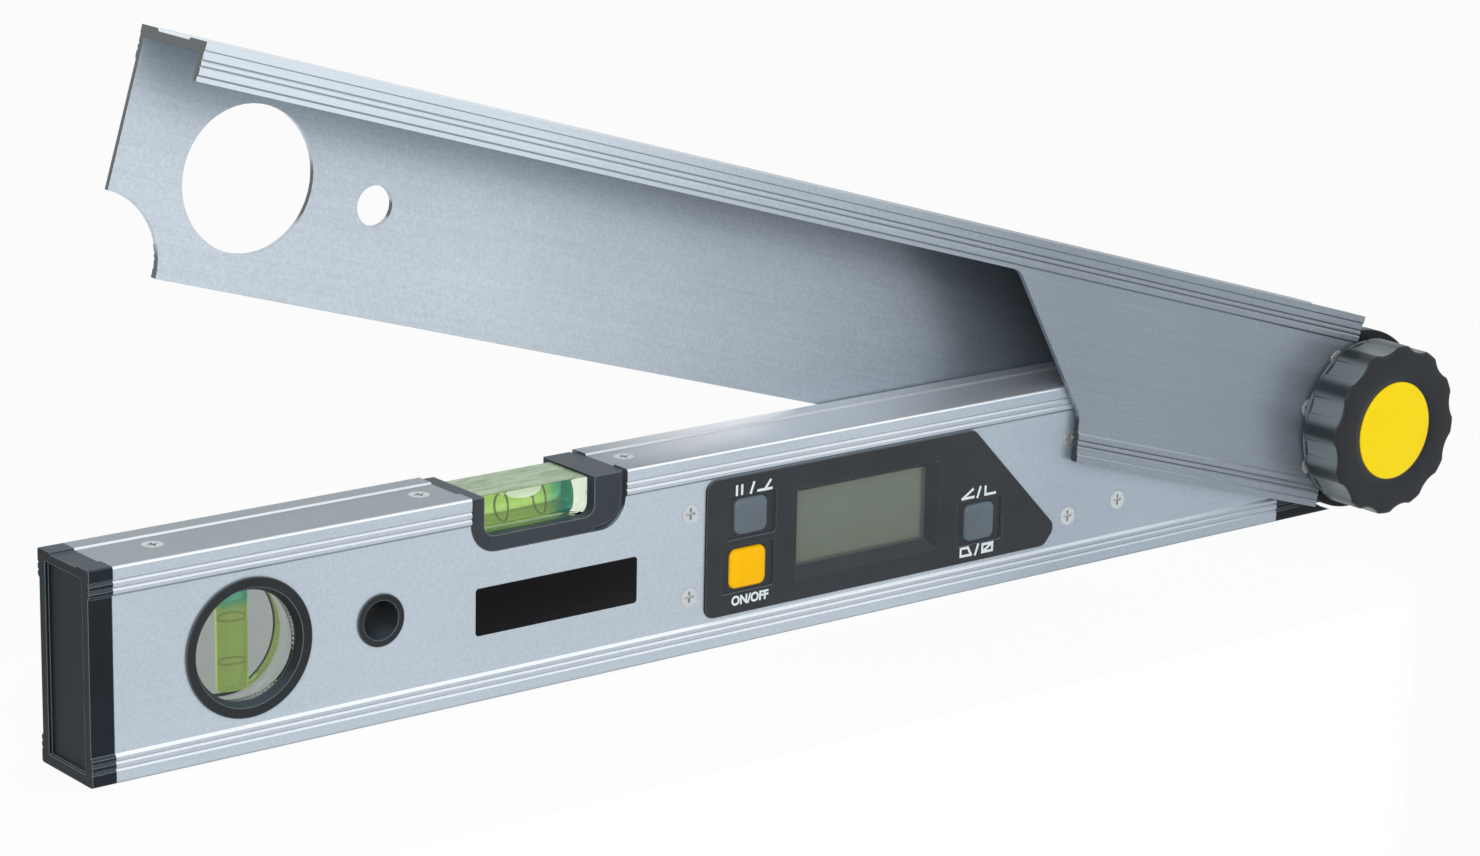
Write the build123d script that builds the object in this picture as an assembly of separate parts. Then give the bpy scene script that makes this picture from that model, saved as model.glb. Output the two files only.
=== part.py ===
"""Digital angle finder: a level body and a folding U-channel arm on a lockable pivot.

Millimetres. The long axis is X, +Z is up and -Y is the side with the display.
The origin is the centre of the body's flat measuring base. The arm is drawn
folded shut over the body and is then opened to its rest angle about the pivot.
"""
from build123d import *
import os
from math import cos, radians, sin

# ---- driving dimensions -------------------------------------------------

# extruded body
BODY_HEIGHT = 56.0
BODY_THICKNESS = 25.2
PROFILE_LENGTH = 405.7
BODY_SIDE_WALL = 1.7
BODY_EDGE_WALL = 2.6
BODY_EDGE_ROUND = 0.8
BAND_HEIGHT = 7.7
BAND_RISE = 0.7
BODY_GROOVES = (3.8, 5.7)
GROOVE_DEPTH = 0.45
GROOVE_WIDTH = 0.9
TOP_RECESS_WIDTH = 12.2
TOP_RECESS_DEPTH = 0.5

# end cap
CAP_LENGTH = 6.8
CAP_PANEL_MARGIN = 2.8
CAP_PANEL_DEPTH = 1.0
CAP_PLUG_LENGTH = 14.0
CAP_PLUG_WALL = 2.0
CAP_TAB_LENGTH = 10.5
CAP_TAB_HEIGHT = 5.5

# plumb vial, measured from the body's free end
PLUMB_STATION = 45.5
BEZEL_MARGIN = 1.9
BEZEL_FLANGE = 3.9
BEZEL_STEP = 1.2
BEZEL_RISE = 0.5
BEZEL_LIP = 0.5
BEZEL_MOUTH = 1.2
PLUMB_BLOCK_HALF = 9.9
VIAL_BORE = 4.2
PLUMB_TUBE_INSET = 2.0
PLUMB_RING_SPACING = 11.0
VIAL_RING_WIDTH = 0.5
VIAL_RING_DEPTH = 0.35

# hanging hole
HANG_STATION = 84.8
GROMMET_RADIUS = 7.1
GROMMET_BORE = 5.3
GROMMET_NECK = 6.2
GROMMET_RISE = 0.4

# level vial
LEVEL_START = 112.8
LEVEL_END = 163.0
LEVEL_DEPTH = 15.7
LEVEL_CORNER = 8.2
CRADLE_FLOOR = 4.3
CRADLE_LEFT_WALL = 4.4
CRADLE_RIGHT_WALL = 10.2
CRADLE_INNER_CORNER = 3.2
CRADLE_BORDER = 1.3
CRADLE_BORDER_DEPTH = 0.9
CRADLE_EAR = 13.0
CRADLE_EAR_HEIGHT = 5.0
CRADLE_SCREW_GAP = 8.1
CRADLE_INSET = 0.2
LEVEL_BLOCK_HALF = 8.6
LEVEL_BLOCK_BELOW_TOP = 1.2
LEVEL_FLUID_LENGTH = 30.0
LEVEL_RING_SPACING = 12.0
LEVEL_BORE_DROP = 5.6

# display module
DISPLAY_START = 190.3
DISPLAY_TIP = 320.0
DISPLAY_TOP_END = 287.1
DISPLAY_LOW_END = 315.5
DISPLAY_LOW = 8.9
DISPLAY_TIP_HEIGHT = 14.1
DISPLAY_BELOW_TOP = 8.0
DISPLAY_CORNER = 3.2
DISPLAY_TIP_OFFSET = 1.4
DISPLAY_RISE = 0.6
DISPLAY_PLATE = 3.4
DISPLAY_RIM = 2.0
HOUSING_WALL = 1.4
HOUSING_DEPTH = 7.2
HOUSING_EAR = 9.0
HOUSING_EAR_HEIGHT = 9.0
LCD_START = 222.9
LCD_END = 269.4
LCD_ABOVE_LOW = 9.9
LCD_BELOW_TOP = 8.0
LCD_OVERLAP = 1.0
LCD_FRAME_LOW = 3.8
LCD_FRAME_SIDE = 4.4
LCD_FRAME_DEPTH = 1.4
WINDOW_THICKNESS = 0.8
LCD_THICKNESS = 1.4
BOARD_THICKNESS = 1.4
BOARD_MARGIN = 4.0

# buttons, along the body from the display's left edge
HOLD_INSET = 9.6
HOLD_WIDTH = 11.5
HOLD_BELOW_TOP = 6.3
POWER_INSET = 8.3
POWER_WIDTH = 12.6
POWER_ABOVE_LOW = 7.0
MODE_INSET = 93.9
MODE_WIDTH = 11.3
MODE_HEIGHT = 11.2
MODE_ABOVE_LOW = 6.1
BUTTON_SPLIT_RISE = 1.2
BUTTON_SPACING = 3.8
BUTTON_CORNER = 2.2
BUTTON_EDGE_ROUND = 0.6
BUTTON_RISE = 1.2
BUTTON_TRAVEL = 0.8
BUTTON_FLANGE = 1.1
BUTTON_FLANGE_THICKNESS = 0.9
BUTTON_RECESS_SIDE = 3.0
BUTTON_RECESS_EDGE = 1.0
BUTTON_RECESS_CORNER = 1.0
BUTTON_RECESS_DEPTH = 0.5
SWITCH_SIZE = 5.0
SWITCH_HEIGHT = 1.6
SWITCH_PLUNGER = 1.4
SWITCH_PLUNGER_RADIUS = 1.75

# batteries, two cells side by side behind the display
CELL_RADIUS = 5.25
CELL_LENGTH = 44.5
CELL_SPACING = 11.6
TRAY_WALL = 1.2
CONTACT_THICKNESS = 0.6
CONTACT_HALF = 3.7
CELL_NUB_RADIUS = 1.75
CELL_NUB_HEIGHT = 1.0
COVER_MARGIN = 3.0
COVER_THICKNESS = 1.6
COVER_CORNER = 2.0
COVER_SCREW_INSET = 5.0
COVER_BOSS_HALF = 3.0
COVER_GRIPS = 3
COVER_GRIP_INSET = 2.5
COVER_GRIP_PITCH = 1.6
COVER_GRIP_WIDTH = 0.8
COVER_GRIP_DEPTH = 0.4
COVER_GRIP_HALF = 6.0

# screws
SCREW_RADIUS = 1.5
SCREW_HEAD_RADIUS = 2.8
SCREW_HEAD_HEIGHT = 1.4
SCREW_LENGTH = 7.0
RECESS_WIDTH = 0.7
RECESS_SPAN = 3.2
RECESS_DEPTH = 0.9
FACE_SCREW_GAP = 5.2
FACE_SCREW_OFFSET = 11.8
HUB_SCREW_INSET = 6.7
HUB_SCREW_OFFSET = 10.1
CAP_SCREW_INSET = 18.4

# pivot and body hub
COLLAR_THINNEST = 3.3
TONGUE_HALF = 8.0
TONGUE_INSET = 1.5
HUB_PLUG_GAP = 8.8
HUB_POCKET_MARGIN = 7.0
HUB_WEB_HALF = 2.5
BOLT_RADIUS = 3.0
BUSH_RADIUS = 5.2
WASHER_RADIUS = 7.6
WASHER_THICKNESS = 0.5
SENSOR_RADIUS = 14.0
SENSOR_BORE = 8.6
SENSOR_THICKNESS = 1.4
SENSOR_GAP = 0.6
RIBBON_WIDTH = 6.0
RIBBON_THICKNESS = 0.6
RIBBON_INSET = 12.0
RIBBON_CHANNEL_DEPTH = 3.0
SOCKET_THICKNESS = 3.0
SOCKET_HEIGHT = 2.5
SOCKET_FLOOR = 0.5
SOCKET_END_WALL = 1.0

# arm
REST_ANGLE = 16.5
ARM_START = 10.0
ARM_PAST_PROFILE = 0.2
ARM_TOP_GAP = 0.6
ARM_WEB = 3.0
ARM_OVERHANG = 1.0
ARM_WALL = 1.5
ARM_BAND_RISE = 0.5
ARM_LIP_RISE = 0.3
ARM_LIP_HEIGHT = 2.0
ARM_BAND_HEIGHT = 8.6
ARM_GROOVES = (4.7, 6.2)
ARM_GROOVE_DEPTH = 0.4
ARM_WEB_RECESS_WIDTH = 14.0
ARM_WEB_RECESS_DEPTH = 0.7
STRIP_HEIGHT = 9.8
CUT_TOP_REACH = 157.3
CUT_KINK_REACH = 119.4
CUT_KINK_DROP = 15.5
CUT_LOW_REACH = 116.5
CUT_ROUND = 6.0
VIAL_HOLE_MARGIN = 0.8
ARM_HANG_HOLE = 5.4
FINGER_NOTCH = 19.2
CHEEK_OVER = 0.1
CHEEK_LIFT = 0.2
CHEEK_SCREW_INSET = 4.3
CHEEK_SCREW_SHORTER = 2.0
CHEEK_SCREW_ANGLES = (-44.0, 1.0, 45.0)
BOLT_HEAD_RADIUS = 5.0
BOLT_HEAD_HEIGHT = 2.2
BOLT_SOCKET_RADIUS = 2.3
BOLT_SOCKET_DEPTH = 1.5
BOLT_TIP_GAP = 1.0
HUB_CAP_RADIUS = 9.2
HUB_CAP_HEIGHT = 2.3
HUB_CAP_ROUND = 0.8

# locking knob
KNOB_FACE = 29.75
KNOB_RADIUS = 26.4
KNOB_VALLEY = 25.0
KNOB_VALLEY_CUTTER = 10.0
KNOB_LOBES = 12
KNOB_LOBE_PHASE = 12.0
KNOB_SKIRT_RADIUS = 25.7
KNOB_SKIRT_HEIGHT = 1.6
KNOB_FACE_CHAMFER = 0.9
KNOB_WALL = 2.6
KNOB_FACE_WALL = 3.2
KNOB_BOSS_RADIUS = 8.0
KNOB_RIBS = 6
KNOB_RIB_WIDTH = 1.6
KNOB_GAP = 0.35
DISC_RADIUS = 15.2
DISC_RECESS = 0.9
DISC_SUNK = 0.15
INSERT_RADIUS = 5.4
INSERT_LENGTH = 10.0
THRUST_RADIUS = 9.0

# clearances
FIT = 0.1
RUNNING = 0.05
ARM_SIDE_GAP = 0.3
SWING_GAP = 0.8
OVERCUT = 1.0

# ---- derived places -----------------------------------------------------

HALF_BODY = BODY_THICKNESS / 2
HALF_MAIN = HALF_BODY - BAND_RISE
CAVITY_HALF = HALF_MAIN - BODY_SIDE_WALL
CAVITY_LOW = BODY_EDGE_WALL
CAVITY_TOP = BODY_HEIGHT - BODY_EDGE_WALL
MID_HEIGHT = BODY_HEIGHT / 2
PROFILE_START = -PROFILE_LENGTH / 2
PROFILE_END = PROFILE_LENGTH / 2
FREE_END = PROFILE_START - CAP_LENGTH

BEZEL_RADIUS = MID_HEIGHT - BAND_HEIGHT - BEZEL_MARGIN
BEZEL_BORE = BEZEL_RADIUS - BEZEL_FLANGE
BEZEL_NECK_RADIUS = BEZEL_RADIUS - BEZEL_STEP
PLUMB_FLUID_LENGTH = 2 * (BEZEL_BORE - PLUMB_TUBE_INSET)
LEVEL_FLOOR = BODY_HEIGHT - LEVEL_DEPTH
TOP_SCREW_STATIONS = (CAP_LENGTH + CAP_SCREW_INSET, LEVEL_START - CRADLE_SCREW_GAP,
                      LEVEL_END + CRADLE_SCREW_GAP)

DISPLAY_TOP = BODY_HEIGHT - DISPLAY_BELOW_TOP
LCD_LOW = DISPLAY_LOW + LCD_ABOVE_LOW
LCD_TOP = DISPLAY_TOP - LCD_BELOW_TOP
BUTTON_SPLIT = MID_HEIGHT + BUTTON_SPLIT_RISE
HOLD_START = DISPLAY_START + HOLD_INSET
POWER_START = DISPLAY_START + POWER_INSET
MODE_START = DISPLAY_START + MODE_INSET
MODE_LOW = DISPLAY_LOW + MODE_ABOVE_LOW

# each button: left edge, right edge, low edge, top edge
BUTTON_HOLD = (HOLD_START, HOLD_START + HOLD_WIDTH,
               BUTTON_SPLIT + BUTTON_SPACING / 2, DISPLAY_TOP - HOLD_BELOW_TOP)
BUTTON_POWER = (POWER_START, POWER_START + POWER_WIDTH,
                DISPLAY_LOW + POWER_ABOVE_LOW, BUTTON_SPLIT - BUTTON_SPACING / 2)
BUTTON_MODE = (MODE_START, MODE_START + MODE_WIDTH, MODE_LOW, MODE_LOW + MODE_HEIGHT)

CHEEK_RADIUS = MID_HEIGHT + CHEEK_OVER
CHEEK_SCREW_CIRCLE = CHEEK_RADIUS - CHEEK_SCREW_INSET
TONGUE_RADIUS = CHEEK_RADIUS - TONGUE_INSET
ARM_BELOW_PIVOT = MID_HEIGHT + ARM_OVERHANG
ARM_VIAL_HOLE = BEZEL_RADIUS + VIAL_HOLE_MARGIN
CHEEK_REACH = CHEEK_RADIUS + CHEEK_LIFT
COLLAR_RADIUS = CHEEK_REACH + SWING_GAP
PIVOT_X = PROFILE_END + COLLAR_THINNEST + COLLAR_RADIUS
PIVOT_Z = MID_HEIGHT
ARM_LENGTH = PIVOT_X - PROFILE_START + ARM_PAST_PROFILE - ARM_START
CHEEK_INNER = TONGUE_HALF + WASHER_THICKNESS
ARM_INNER = HALF_BODY + ARM_SIDE_GAP
ARM_MAIN = ARM_INNER + ARM_WALL
ARM_BAND = ARM_MAIN + ARM_BAND_RISE
ARM_LIP = ARM_BAND + ARM_LIP_RISE
WEB_INNER = BODY_HEIGHT - PIVOT_Z + ARM_TOP_GAP
WEB_OUTER = WEB_INNER + ARM_WEB
KNOB_BACK = ARM_BAND + KNOB_GAP


def station(distance):
    """X of a place given by its distance from the body's free end."""
    return FREE_END + distance


def folded(reach):
    """X, on the folded arm, of a place given by its distance from the pivot."""
    return PIVOT_X - reach


# ---- shape helpers ------------------------------------------------------

def box(x0, x1, y0, y1, z0, z1):
    """A box between two corners."""
    centre = Pos((x0 + x1) / 2, (y0 + y1) / 2, (z0 + z1) / 2)
    return centre * Box(x1 - x0, y1 - y0, z1 - z0)


def disc_y(x, z, radius, y0, y1):
    """A cylinder along Y."""
    return extrude(Plane.XZ.offset(-y1) * Pos(x, z) * Circle(radius), amount=y1 - y0)


def ring_y(x, z, outer, inner, y0, y1):
    """A tube along Y."""
    face = Circle(outer) - Circle(inner)
    return extrude(Plane.XZ.offset(-y1) * Pos(x, z) * face, amount=y1 - y0)


def rod_x(y, z, radius, x0, x1):
    """A cylinder along X."""
    return extrude(Plane.YZ.offset(x0) * Pos(y, z) * Circle(radius), amount=x1 - x0)


def rod_z(x, y, radius, z0, z1):
    """A cylinder along Z."""
    return extrude(Plane.XY.offset(z0) * Pos(x, y) * Circle(radius), amount=z1 - z0)


def outline(points, radius=0, keep=None):
    """A face through (x, z) points, its corners rounded; keep picks which ones."""
    face = make_face(Polyline(*points, close=True))
    if radius > 0:
        corners = [v for v in face.vertices() if keep is None or keep(v)]
        face = fillet(corners, radius)
    return face


def prism_y(face, y0, y1):
    """A face drawn in (x, z), extruded along Y."""
    return extrude(Plane.XZ.offset(-y1) * face, amount=y1 - y0)


def slab_y(x0, x1, z0, z1, radius, y0, y1):
    """A rounded rectangle in (x, z), extruded along Y."""
    face = outline([(x0, z0), (x1, z0), (x1, z1), (x0, z1)], radius)
    return prism_y(face, y0, y1)


def grooved_side(sign, half, rise, lip_rise, lip_height, low, top, band, grooves, depth):
    """Points up one side of an extrusion: two raised, grooved bands and a sunk middle."""
    main = half - rise
    rising = []
    if lip_rise > 0:
        rising += [(half + lip_rise, 0), (half + lip_rise, lip_height)]
        rising += [(half, lip_height + lip_rise)]
    else:
        rising += [(half, 0)]
    for place in grooves:
        rising += [(half, place - GROOVE_WIDTH / 2), (half - depth, place)]
        rising += [(half, place + GROOVE_WIDTH / 2)]
    rising += [(half, band - rise), (main, band)]
    points = [(sign * y, low + z) for y, z in rising]
    points += [(sign * y, top - z) for y, z in reversed(rising)]
    return points


def screw(length=SCREW_LENGTH):
    """A countersunk cross-recess screw, its head's top at the origin, pointing down."""
    head = Cone(SCREW_RADIUS, SCREW_HEAD_RADIUS, SCREW_HEAD_HEIGHT)
    shank = Cylinder(SCREW_RADIUS, length - SCREW_HEAD_HEIGHT)
    body = Pos(0, 0, -SCREW_HEAD_HEIGHT / 2) * head
    body += Pos(0, 0, -(length + SCREW_HEAD_HEIGHT) / 2) * shank
    slot = Box(RECESS_SPAN, RECESS_WIDTH, 2 * RECESS_DEPTH)
    return body - slot - Rot(0, 0, 90) * slot


def screw_hole(length=SCREW_LENGTH):
    """The hole that a screw takes, larger all round by the fit."""
    radius = SCREW_RADIUS + RUNNING
    head_radius = SCREW_HEAD_RADIUS + RUNNING
    head = Cone(radius, head_radius, SCREW_HEAD_HEIGHT)
    hole = Pos(0, 0, -SCREW_HEAD_HEIGHT / 2) * head
    hole += Pos(0, 0, -(length + FIT) / 2) * Cylinder(radius, length + FIT)
    return hole + Pos(0, 0, FIT) * Cylinder(head_radius, 2 * FIT)


def facing(x, y, z, normal):
    """The place of a screw whose head faces along the normal."""
    return Plane(origin=(x, y, z), z_dir=normal).location


NEAR = (0, -1, 0)
FAR = (0, 1, 0)
UP = (0, 0, 1)


# ---- the body -----------------------------------------------------------

def body_section():
    """The body's outer outline in (y, z)."""
    near = grooved_side(-1, HALF_BODY, BAND_RISE, 0, 0, 0, BODY_HEIGHT, BAND_HEIGHT,
                        BODY_GROOVES, GROOVE_DEPTH)
    far = grooved_side(1, HALF_BODY, BAND_RISE, 0, 0, 0, BODY_HEIGHT, BAND_HEIGHT,
                       BODY_GROOVES, GROOVE_DEPTH)
    half_recess = TOP_RECESS_WIDTH / 2
    floor = BODY_HEIGHT - TOP_RECESS_DEPTH
    top = [(-half_recess - TOP_RECESS_DEPTH, BODY_HEIGHT), (-half_recess, floor)]
    top += [(half_recess, floor), (half_recess + TOP_RECESS_DEPTH, BODY_HEIGHT)]
    corner = HALF_BODY - BODY_EDGE_ROUND / 2
    return outline(near + top + list(reversed(far)), BODY_EDGE_ROUND,
                   lambda v: abs(v.X) > corner and v.Y in (0, BODY_HEIGHT))


def cavity(x0, x1, shrink=0.0):
    """The space inside the extrusion, less a clearance all round."""
    return box(x0, x1, -CAVITY_HALF + shrink, CAVITY_HALF - shrink,
               CAVITY_LOW + shrink, CAVITY_TOP - shrink)


def display_outline(grow=0.0):
    """The display module's outline, with the slanted end towards the pivot."""
    points = [(station(DISPLAY_START) - grow, DISPLAY_LOW - grow),
              (station(DISPLAY_LOW_END) + grow / 2, DISPLAY_LOW - grow),
              (station(DISPLAY_TIP) + DISPLAY_TIP_OFFSET * grow, DISPLAY_TIP_HEIGHT),
              (station(DISPLAY_TOP_END) + grow / 2, DISPLAY_TOP + grow),
              (station(DISPLAY_START) - grow, DISPLAY_TOP + grow)]
    return outline(points, DISPLAY_CORNER + grow / 2)


def face_screw_places():
    """Screws in the near face: four for the display housing, then two for the hub."""
    places = []
    for x in (station(DISPLAY_START) - FACE_SCREW_GAP, station(DISPLAY_TIP) + FACE_SCREW_GAP):
        for side in (-1, 1):
            places.append((x, MID_HEIGHT + side * FACE_SCREW_OFFSET))
    for side in (-1, 1):
        places.append((HUB_PLUG_START + HUB_SCREW_INSET, MID_HEIGHT + side * HUB_SCREW_OFFSET))
    return places


TRAY_LENGTH = CELL_LENGTH + 2 * (CONTACT_THICKNESS + TRAY_WALL) + 2 * FIT
TRAY_HEIGHT = CELL_SPACING + 2 * (CELL_RADIUS + FIT + TRAY_WALL)
TRAY_X = station((LCD_START + LCD_END) / 2)
TRAY_Z = MID_HEIGHT
CELL_Y = CAVITY_HALF - CELL_RADIUS - FIT
HALF_COVER = TRAY_LENGTH / 2 + COVER_MARGIN + COVER_SCREW_INSET
HALF_COVER_HEIGHT = TRAY_HEIGHT / 2 + COVER_MARGIN
COVER_SCREW_X = TRAY_X + HALF_COVER - COVER_SCREW_INSET
HOUSING_START = station(DISPLAY_START) - FACE_SCREW_GAP - HOUSING_EAR / 2
HOUSING_END = station(DISPLAY_TIP) + FACE_SCREW_GAP + HOUSING_EAR / 2
HUB_PLUG_START = HOUSING_END + HUB_PLUG_GAP


def make_body_profile():
    solid = extrude(Plane.YZ.offset(PROFILE_START) * body_section(), amount=PROFILE_LENGTH)
    solid -= cavity(PROFILE_START - OVERCUT, PROFILE_END + OVERCUT)
    through = HALF_BODY + OVERCUT
    solid -= disc_y(station(PLUMB_STATION), MID_HEIGHT, BEZEL_NECK_RADIUS + FIT,
                    -through, through)
    solid -= disc_y(station(HANG_STATION), MID_HEIGHT, GROMMET_NECK + FIT, -through, through)
    solid -= prism_y(notch_outline(0), -through, through)
    solid -= prism_y(display_outline(FIT), -through, 0)
    solid -= slab_y(TRAY_X - HALF_COVER - FIT, TRAY_X + HALF_COVER + FIT,
                    TRAY_Z - HALF_COVER_HEIGHT - FIT, TRAY_Z + HALF_COVER_HEIGHT + FIT,
                    COVER_CORNER, 0, through)
    for x, z in face_screw_places():
        solid -= facing(x, -HALF_MAIN, z, NEAR) * screw_hole()
    for place in TOP_SCREW_STATIONS:
        solid -= facing(station(place), 0, BODY_HEIGHT - TOP_RECESS_DEPTH, UP) * screw_hole()
    return solid


def notch_outline(shrink):
    """The level vial's notch in the body's top, in (x, z)."""
    x0 = station(LEVEL_START) + shrink
    x1 = station(LEVEL_END) - shrink
    low = LEVEL_FLOOR + shrink
    high = BODY_HEIGHT + OVERCUT
    return outline([(x0, low), (x1, low), (x1, high), (x0, high)], LEVEL_CORNER - shrink,
                   lambda v: v.Y < (low + high) / 2)


def make_end_cap():
    solid = extrude(Plane.YZ.offset(FREE_END) * body_section(), amount=CAP_LENGTH)
    panel = HALF_MAIN - CAP_PANEL_MARGIN
    solid -= box(FREE_END - OVERCUT, FREE_END + CAP_PANEL_DEPTH, -panel, panel,
                 CAP_PANEL_MARGIN, BODY_HEIGHT - CAP_PANEL_MARGIN)
    plug_end = PROFILE_START + CAP_PLUG_LENGTH
    plug = cavity(PROFILE_START, plug_end, FIT)
    plug -= cavity(PROFILE_START, plug_end + OVERCUT, FIT + CAP_PLUG_WALL)
    tab_end = plug_end + CAP_TAB_LENGTH
    tabs = cavity(PROFILE_START, tab_end, FIT)
    tabs -= box(PROFILE_START, tab_end + OVERCUT, -HALF_BODY, HALF_BODY,
                CAVITY_LOW + CAP_TAB_HEIGHT, CAVITY_TOP - CAP_TAB_HEIGHT)
    solid += plug + tabs
    place = facing(station(TOP_SCREW_STATIONS[0]), 0, BODY_HEIGHT - TOP_RECESS_DEPTH, UP)
    return solid - place * screw_hole()


def plumb_bezel(side):
    """A bezel ring: a dished flange on the wall and a neck that grips the clear block."""
    x = station(PLUMB_STATION)
    wall = HALF_MAIN
    low, high = sorted((side * wall, side * (wall + BEZEL_RISE)))
    ring = ring_y(x, MID_HEIGHT, BEZEL_RADIUS, BEZEL_BORE, low, high)
    low, high = sorted((side * PLUMB_BLOCK_HALF, side * wall))
    ring += ring_y(x, MID_HEIGHT, BEZEL_NECK_RADIUS, BEZEL_BORE, low, high)
    low, high = sorted((side * FIT, side * PLUMB_BLOCK_HALF))
    ring += ring_y(x, MID_HEIGHT, BEZEL_NECK_RADIUS, BEZEL_BORE + BEZEL_LIP, low, high)
    front = wall + BEZEL_RISE
    depth = front - PLUMB_BLOCK_HALF
    mouth = Cone(BEZEL_BORE, BEZEL_BORE + BEZEL_MOUTH, depth)
    place = facing(x, side * front, MID_HEIGHT, (0, side, 0))
    return ring - place * Pos(0, 0, -depth / 2) * mouth


def make_plumb_block():
    x = station(PLUMB_STATION)
    radius = BEZEL_BORE + BEZEL_LIP - FIT
    block = disc_y(x, MID_HEIGHT, radius, -PLUMB_BLOCK_HALF, PLUMB_BLOCK_HALF)
    half = PLUMB_FLUID_LENGTH / 2
    return block - rod_z(x, 0, VIAL_BORE, MID_HEIGHT - half, MID_HEIGHT + half)


def make_plumb_fluid():
    half = PLUMB_FLUID_LENGTH / 2 - FIT
    radius = VIAL_BORE - RUNNING
    column = rod_z(station(PLUMB_STATION), 0, radius, MID_HEIGHT - half, MID_HEIGHT + half)
    for ring in plumb_rings():
        column -= ring
    return column


def plumb_rings():
    rings = []
    x = station(PLUMB_STATION)
    for side in (-1, 1):
        low = MID_HEIGHT + side * PLUMB_RING_SPACING / 2 - VIAL_RING_WIDTH / 2
        ring = rod_z(x, 0, VIAL_BORE - RUNNING, low, low + VIAL_RING_WIDTH)
        core = rod_z(x, 0, VIAL_BORE - VIAL_RING_DEPTH, low, low + VIAL_RING_WIDTH)
        rings.append(ring - core)
    return rings


def make_level_cradle():
    half = HALF_MAIN - CRADLE_INSET
    solid = prism_y(notch_outline(FIT), -half, half)
    x0 = station(LEVEL_START)
    x1 = station(LEVEL_END)
    solid -= prism_y(level_seat(0, BODY_HEIGHT + OVERCUT), -half - OVERCUT, half + OVERCUT)
    border = notch_outline(FIT) - notch_outline(FIT + CRADLE_BORDER)
    for side in (-1, 1):
        y0, y1 = sorted((side * (half - CRADLE_BORDER_DEPTH), side * (half + OVERCUT)))
        edge = prism_y(border, y0, y1)
        solid -= edge & box(LEVEL_BLOCK_X1 + FIT, x1, y0, y1, 0, BODY_HEIGHT + OVERCUT)
    solid -= box(x0, x1, -half - OVERCUT, half + OVERCUT,
                 BODY_HEIGHT - TOP_RECESS_DEPTH, BODY_HEIGHT + 2 * OVERCUT)
    ear_top = CAVITY_TOP - FIT
    ears = box(x0 - CRADLE_EAR, x1 + CRADLE_EAR, -CAVITY_HALF + FIT, CAVITY_HALF - FIT,
               ear_top - CRADLE_EAR_HEIGHT, ear_top)
    ears -= box(x0 + OVERCUT, x1 - OVERCUT, -half, half, 0, BODY_HEIGHT)
    solid += ears
    for place in TOP_SCREW_STATIONS[1:]:
        head = facing(station(place), 0, BODY_HEIGHT - TOP_RECESS_DEPTH, UP)
        solid -= head * screw_hole()
    return solid


LEVEL_BLOCK_X0 = station(LEVEL_START) + CRADLE_LEFT_WALL + FIT
LEVEL_BLOCK_X1 = station(LEVEL_END) - CRADLE_RIGHT_WALL - FIT
LEVEL_BLOCK_TOP = BODY_HEIGHT - LEVEL_BLOCK_BELOW_TOP
LEVEL_X = (LEVEL_BLOCK_X0 + LEVEL_BLOCK_X1) / 2
LEVEL_Z = LEVEL_BLOCK_TOP - LEVEL_BORE_DROP


def level_seat(shrink, top):
    """The space between the cradle's walls, with rounded lower corners, in (x, z)."""
    x0 = LEVEL_BLOCK_X0 - FIT + shrink
    x1 = LEVEL_BLOCK_X1 + FIT - shrink
    low = LEVEL_FLOOR + CRADLE_FLOOR
    return outline([(x0, low), (x1, low), (x1, top), (x0, top)], CRADLE_INNER_CORNER - shrink,
                   lambda v: v.Y < (low + top) / 2)


def make_level_block():
    block = prism_y(level_seat(FIT, LEVEL_BLOCK_TOP), -LEVEL_BLOCK_HALF, LEVEL_BLOCK_HALF)
    half = LEVEL_FLUID_LENGTH / 2
    return block - rod_x(0, LEVEL_Z, VIAL_BORE, LEVEL_X - half, LEVEL_X + half)


def level_rings():
    rings = []
    for side in (-1, 1):
        low = LEVEL_X + side * LEVEL_RING_SPACING / 2 - VIAL_RING_WIDTH / 2
        ring = rod_x(0, LEVEL_Z, VIAL_BORE - RUNNING, low, low + VIAL_RING_WIDTH)
        core = rod_x(0, LEVEL_Z, VIAL_BORE - VIAL_RING_DEPTH, low, low + VIAL_RING_WIDTH)
        rings.append(ring - core)
    return rings


def make_level_fluid():
    half = LEVEL_FLUID_LENGTH / 2 - FIT
    column = rod_x(0, LEVEL_Z, VIAL_BORE - RUNNING, LEVEL_X - half, LEVEL_X + half)
    for ring in level_rings():
        column -= ring
    return column


def make_grommet():
    x = station(HANG_STATION)
    face = HALF_MAIN + GROMMET_RISE
    solid = disc_y(x, MID_HEIGHT, GROMMET_NECK, -face, face)
    solid += disc_y(x, MID_HEIGHT, GROMMET_RADIUS, -face, -HALF_MAIN)
    solid += disc_y(x, MID_HEIGHT, GROMMET_RADIUS, HALF_MAIN, face)
    return solid - disc_y(x, MID_HEIGHT, GROMMET_BORE, -face - OVERCUT, face + OVERCUT)


# ---- display, buttons and electronics -----------------------------------

PLATE_FRONT = -(HALF_MAIN + DISPLAY_RISE)
PLATE_BACK = PLATE_FRONT + DISPLAY_PLATE
LCD_FRONT = PLATE_FRONT + LCD_FRAME_DEPTH
LCD_BACK = LCD_FRONT + WINDOW_THICKNESS + LCD_THICKNESS
FLANGE_FRONT = PLATE_BACK
FLANGE_BACK = FLANGE_FRONT + BUTTON_FLANGE_THICKNESS
PLUNGER_TOP = FLANGE_BACK + BUTTON_TRAVEL + FIT
BOARD_FRONT = PLUNGER_TOP + SWITCH_PLUNGER + SWITCH_HEIGHT - BUTTON_TRAVEL
BOARD_BACK = BOARD_FRONT + BOARD_THICKNESS
HOUSING_FRONT = -CAVITY_HALF + FIT / 2


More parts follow.
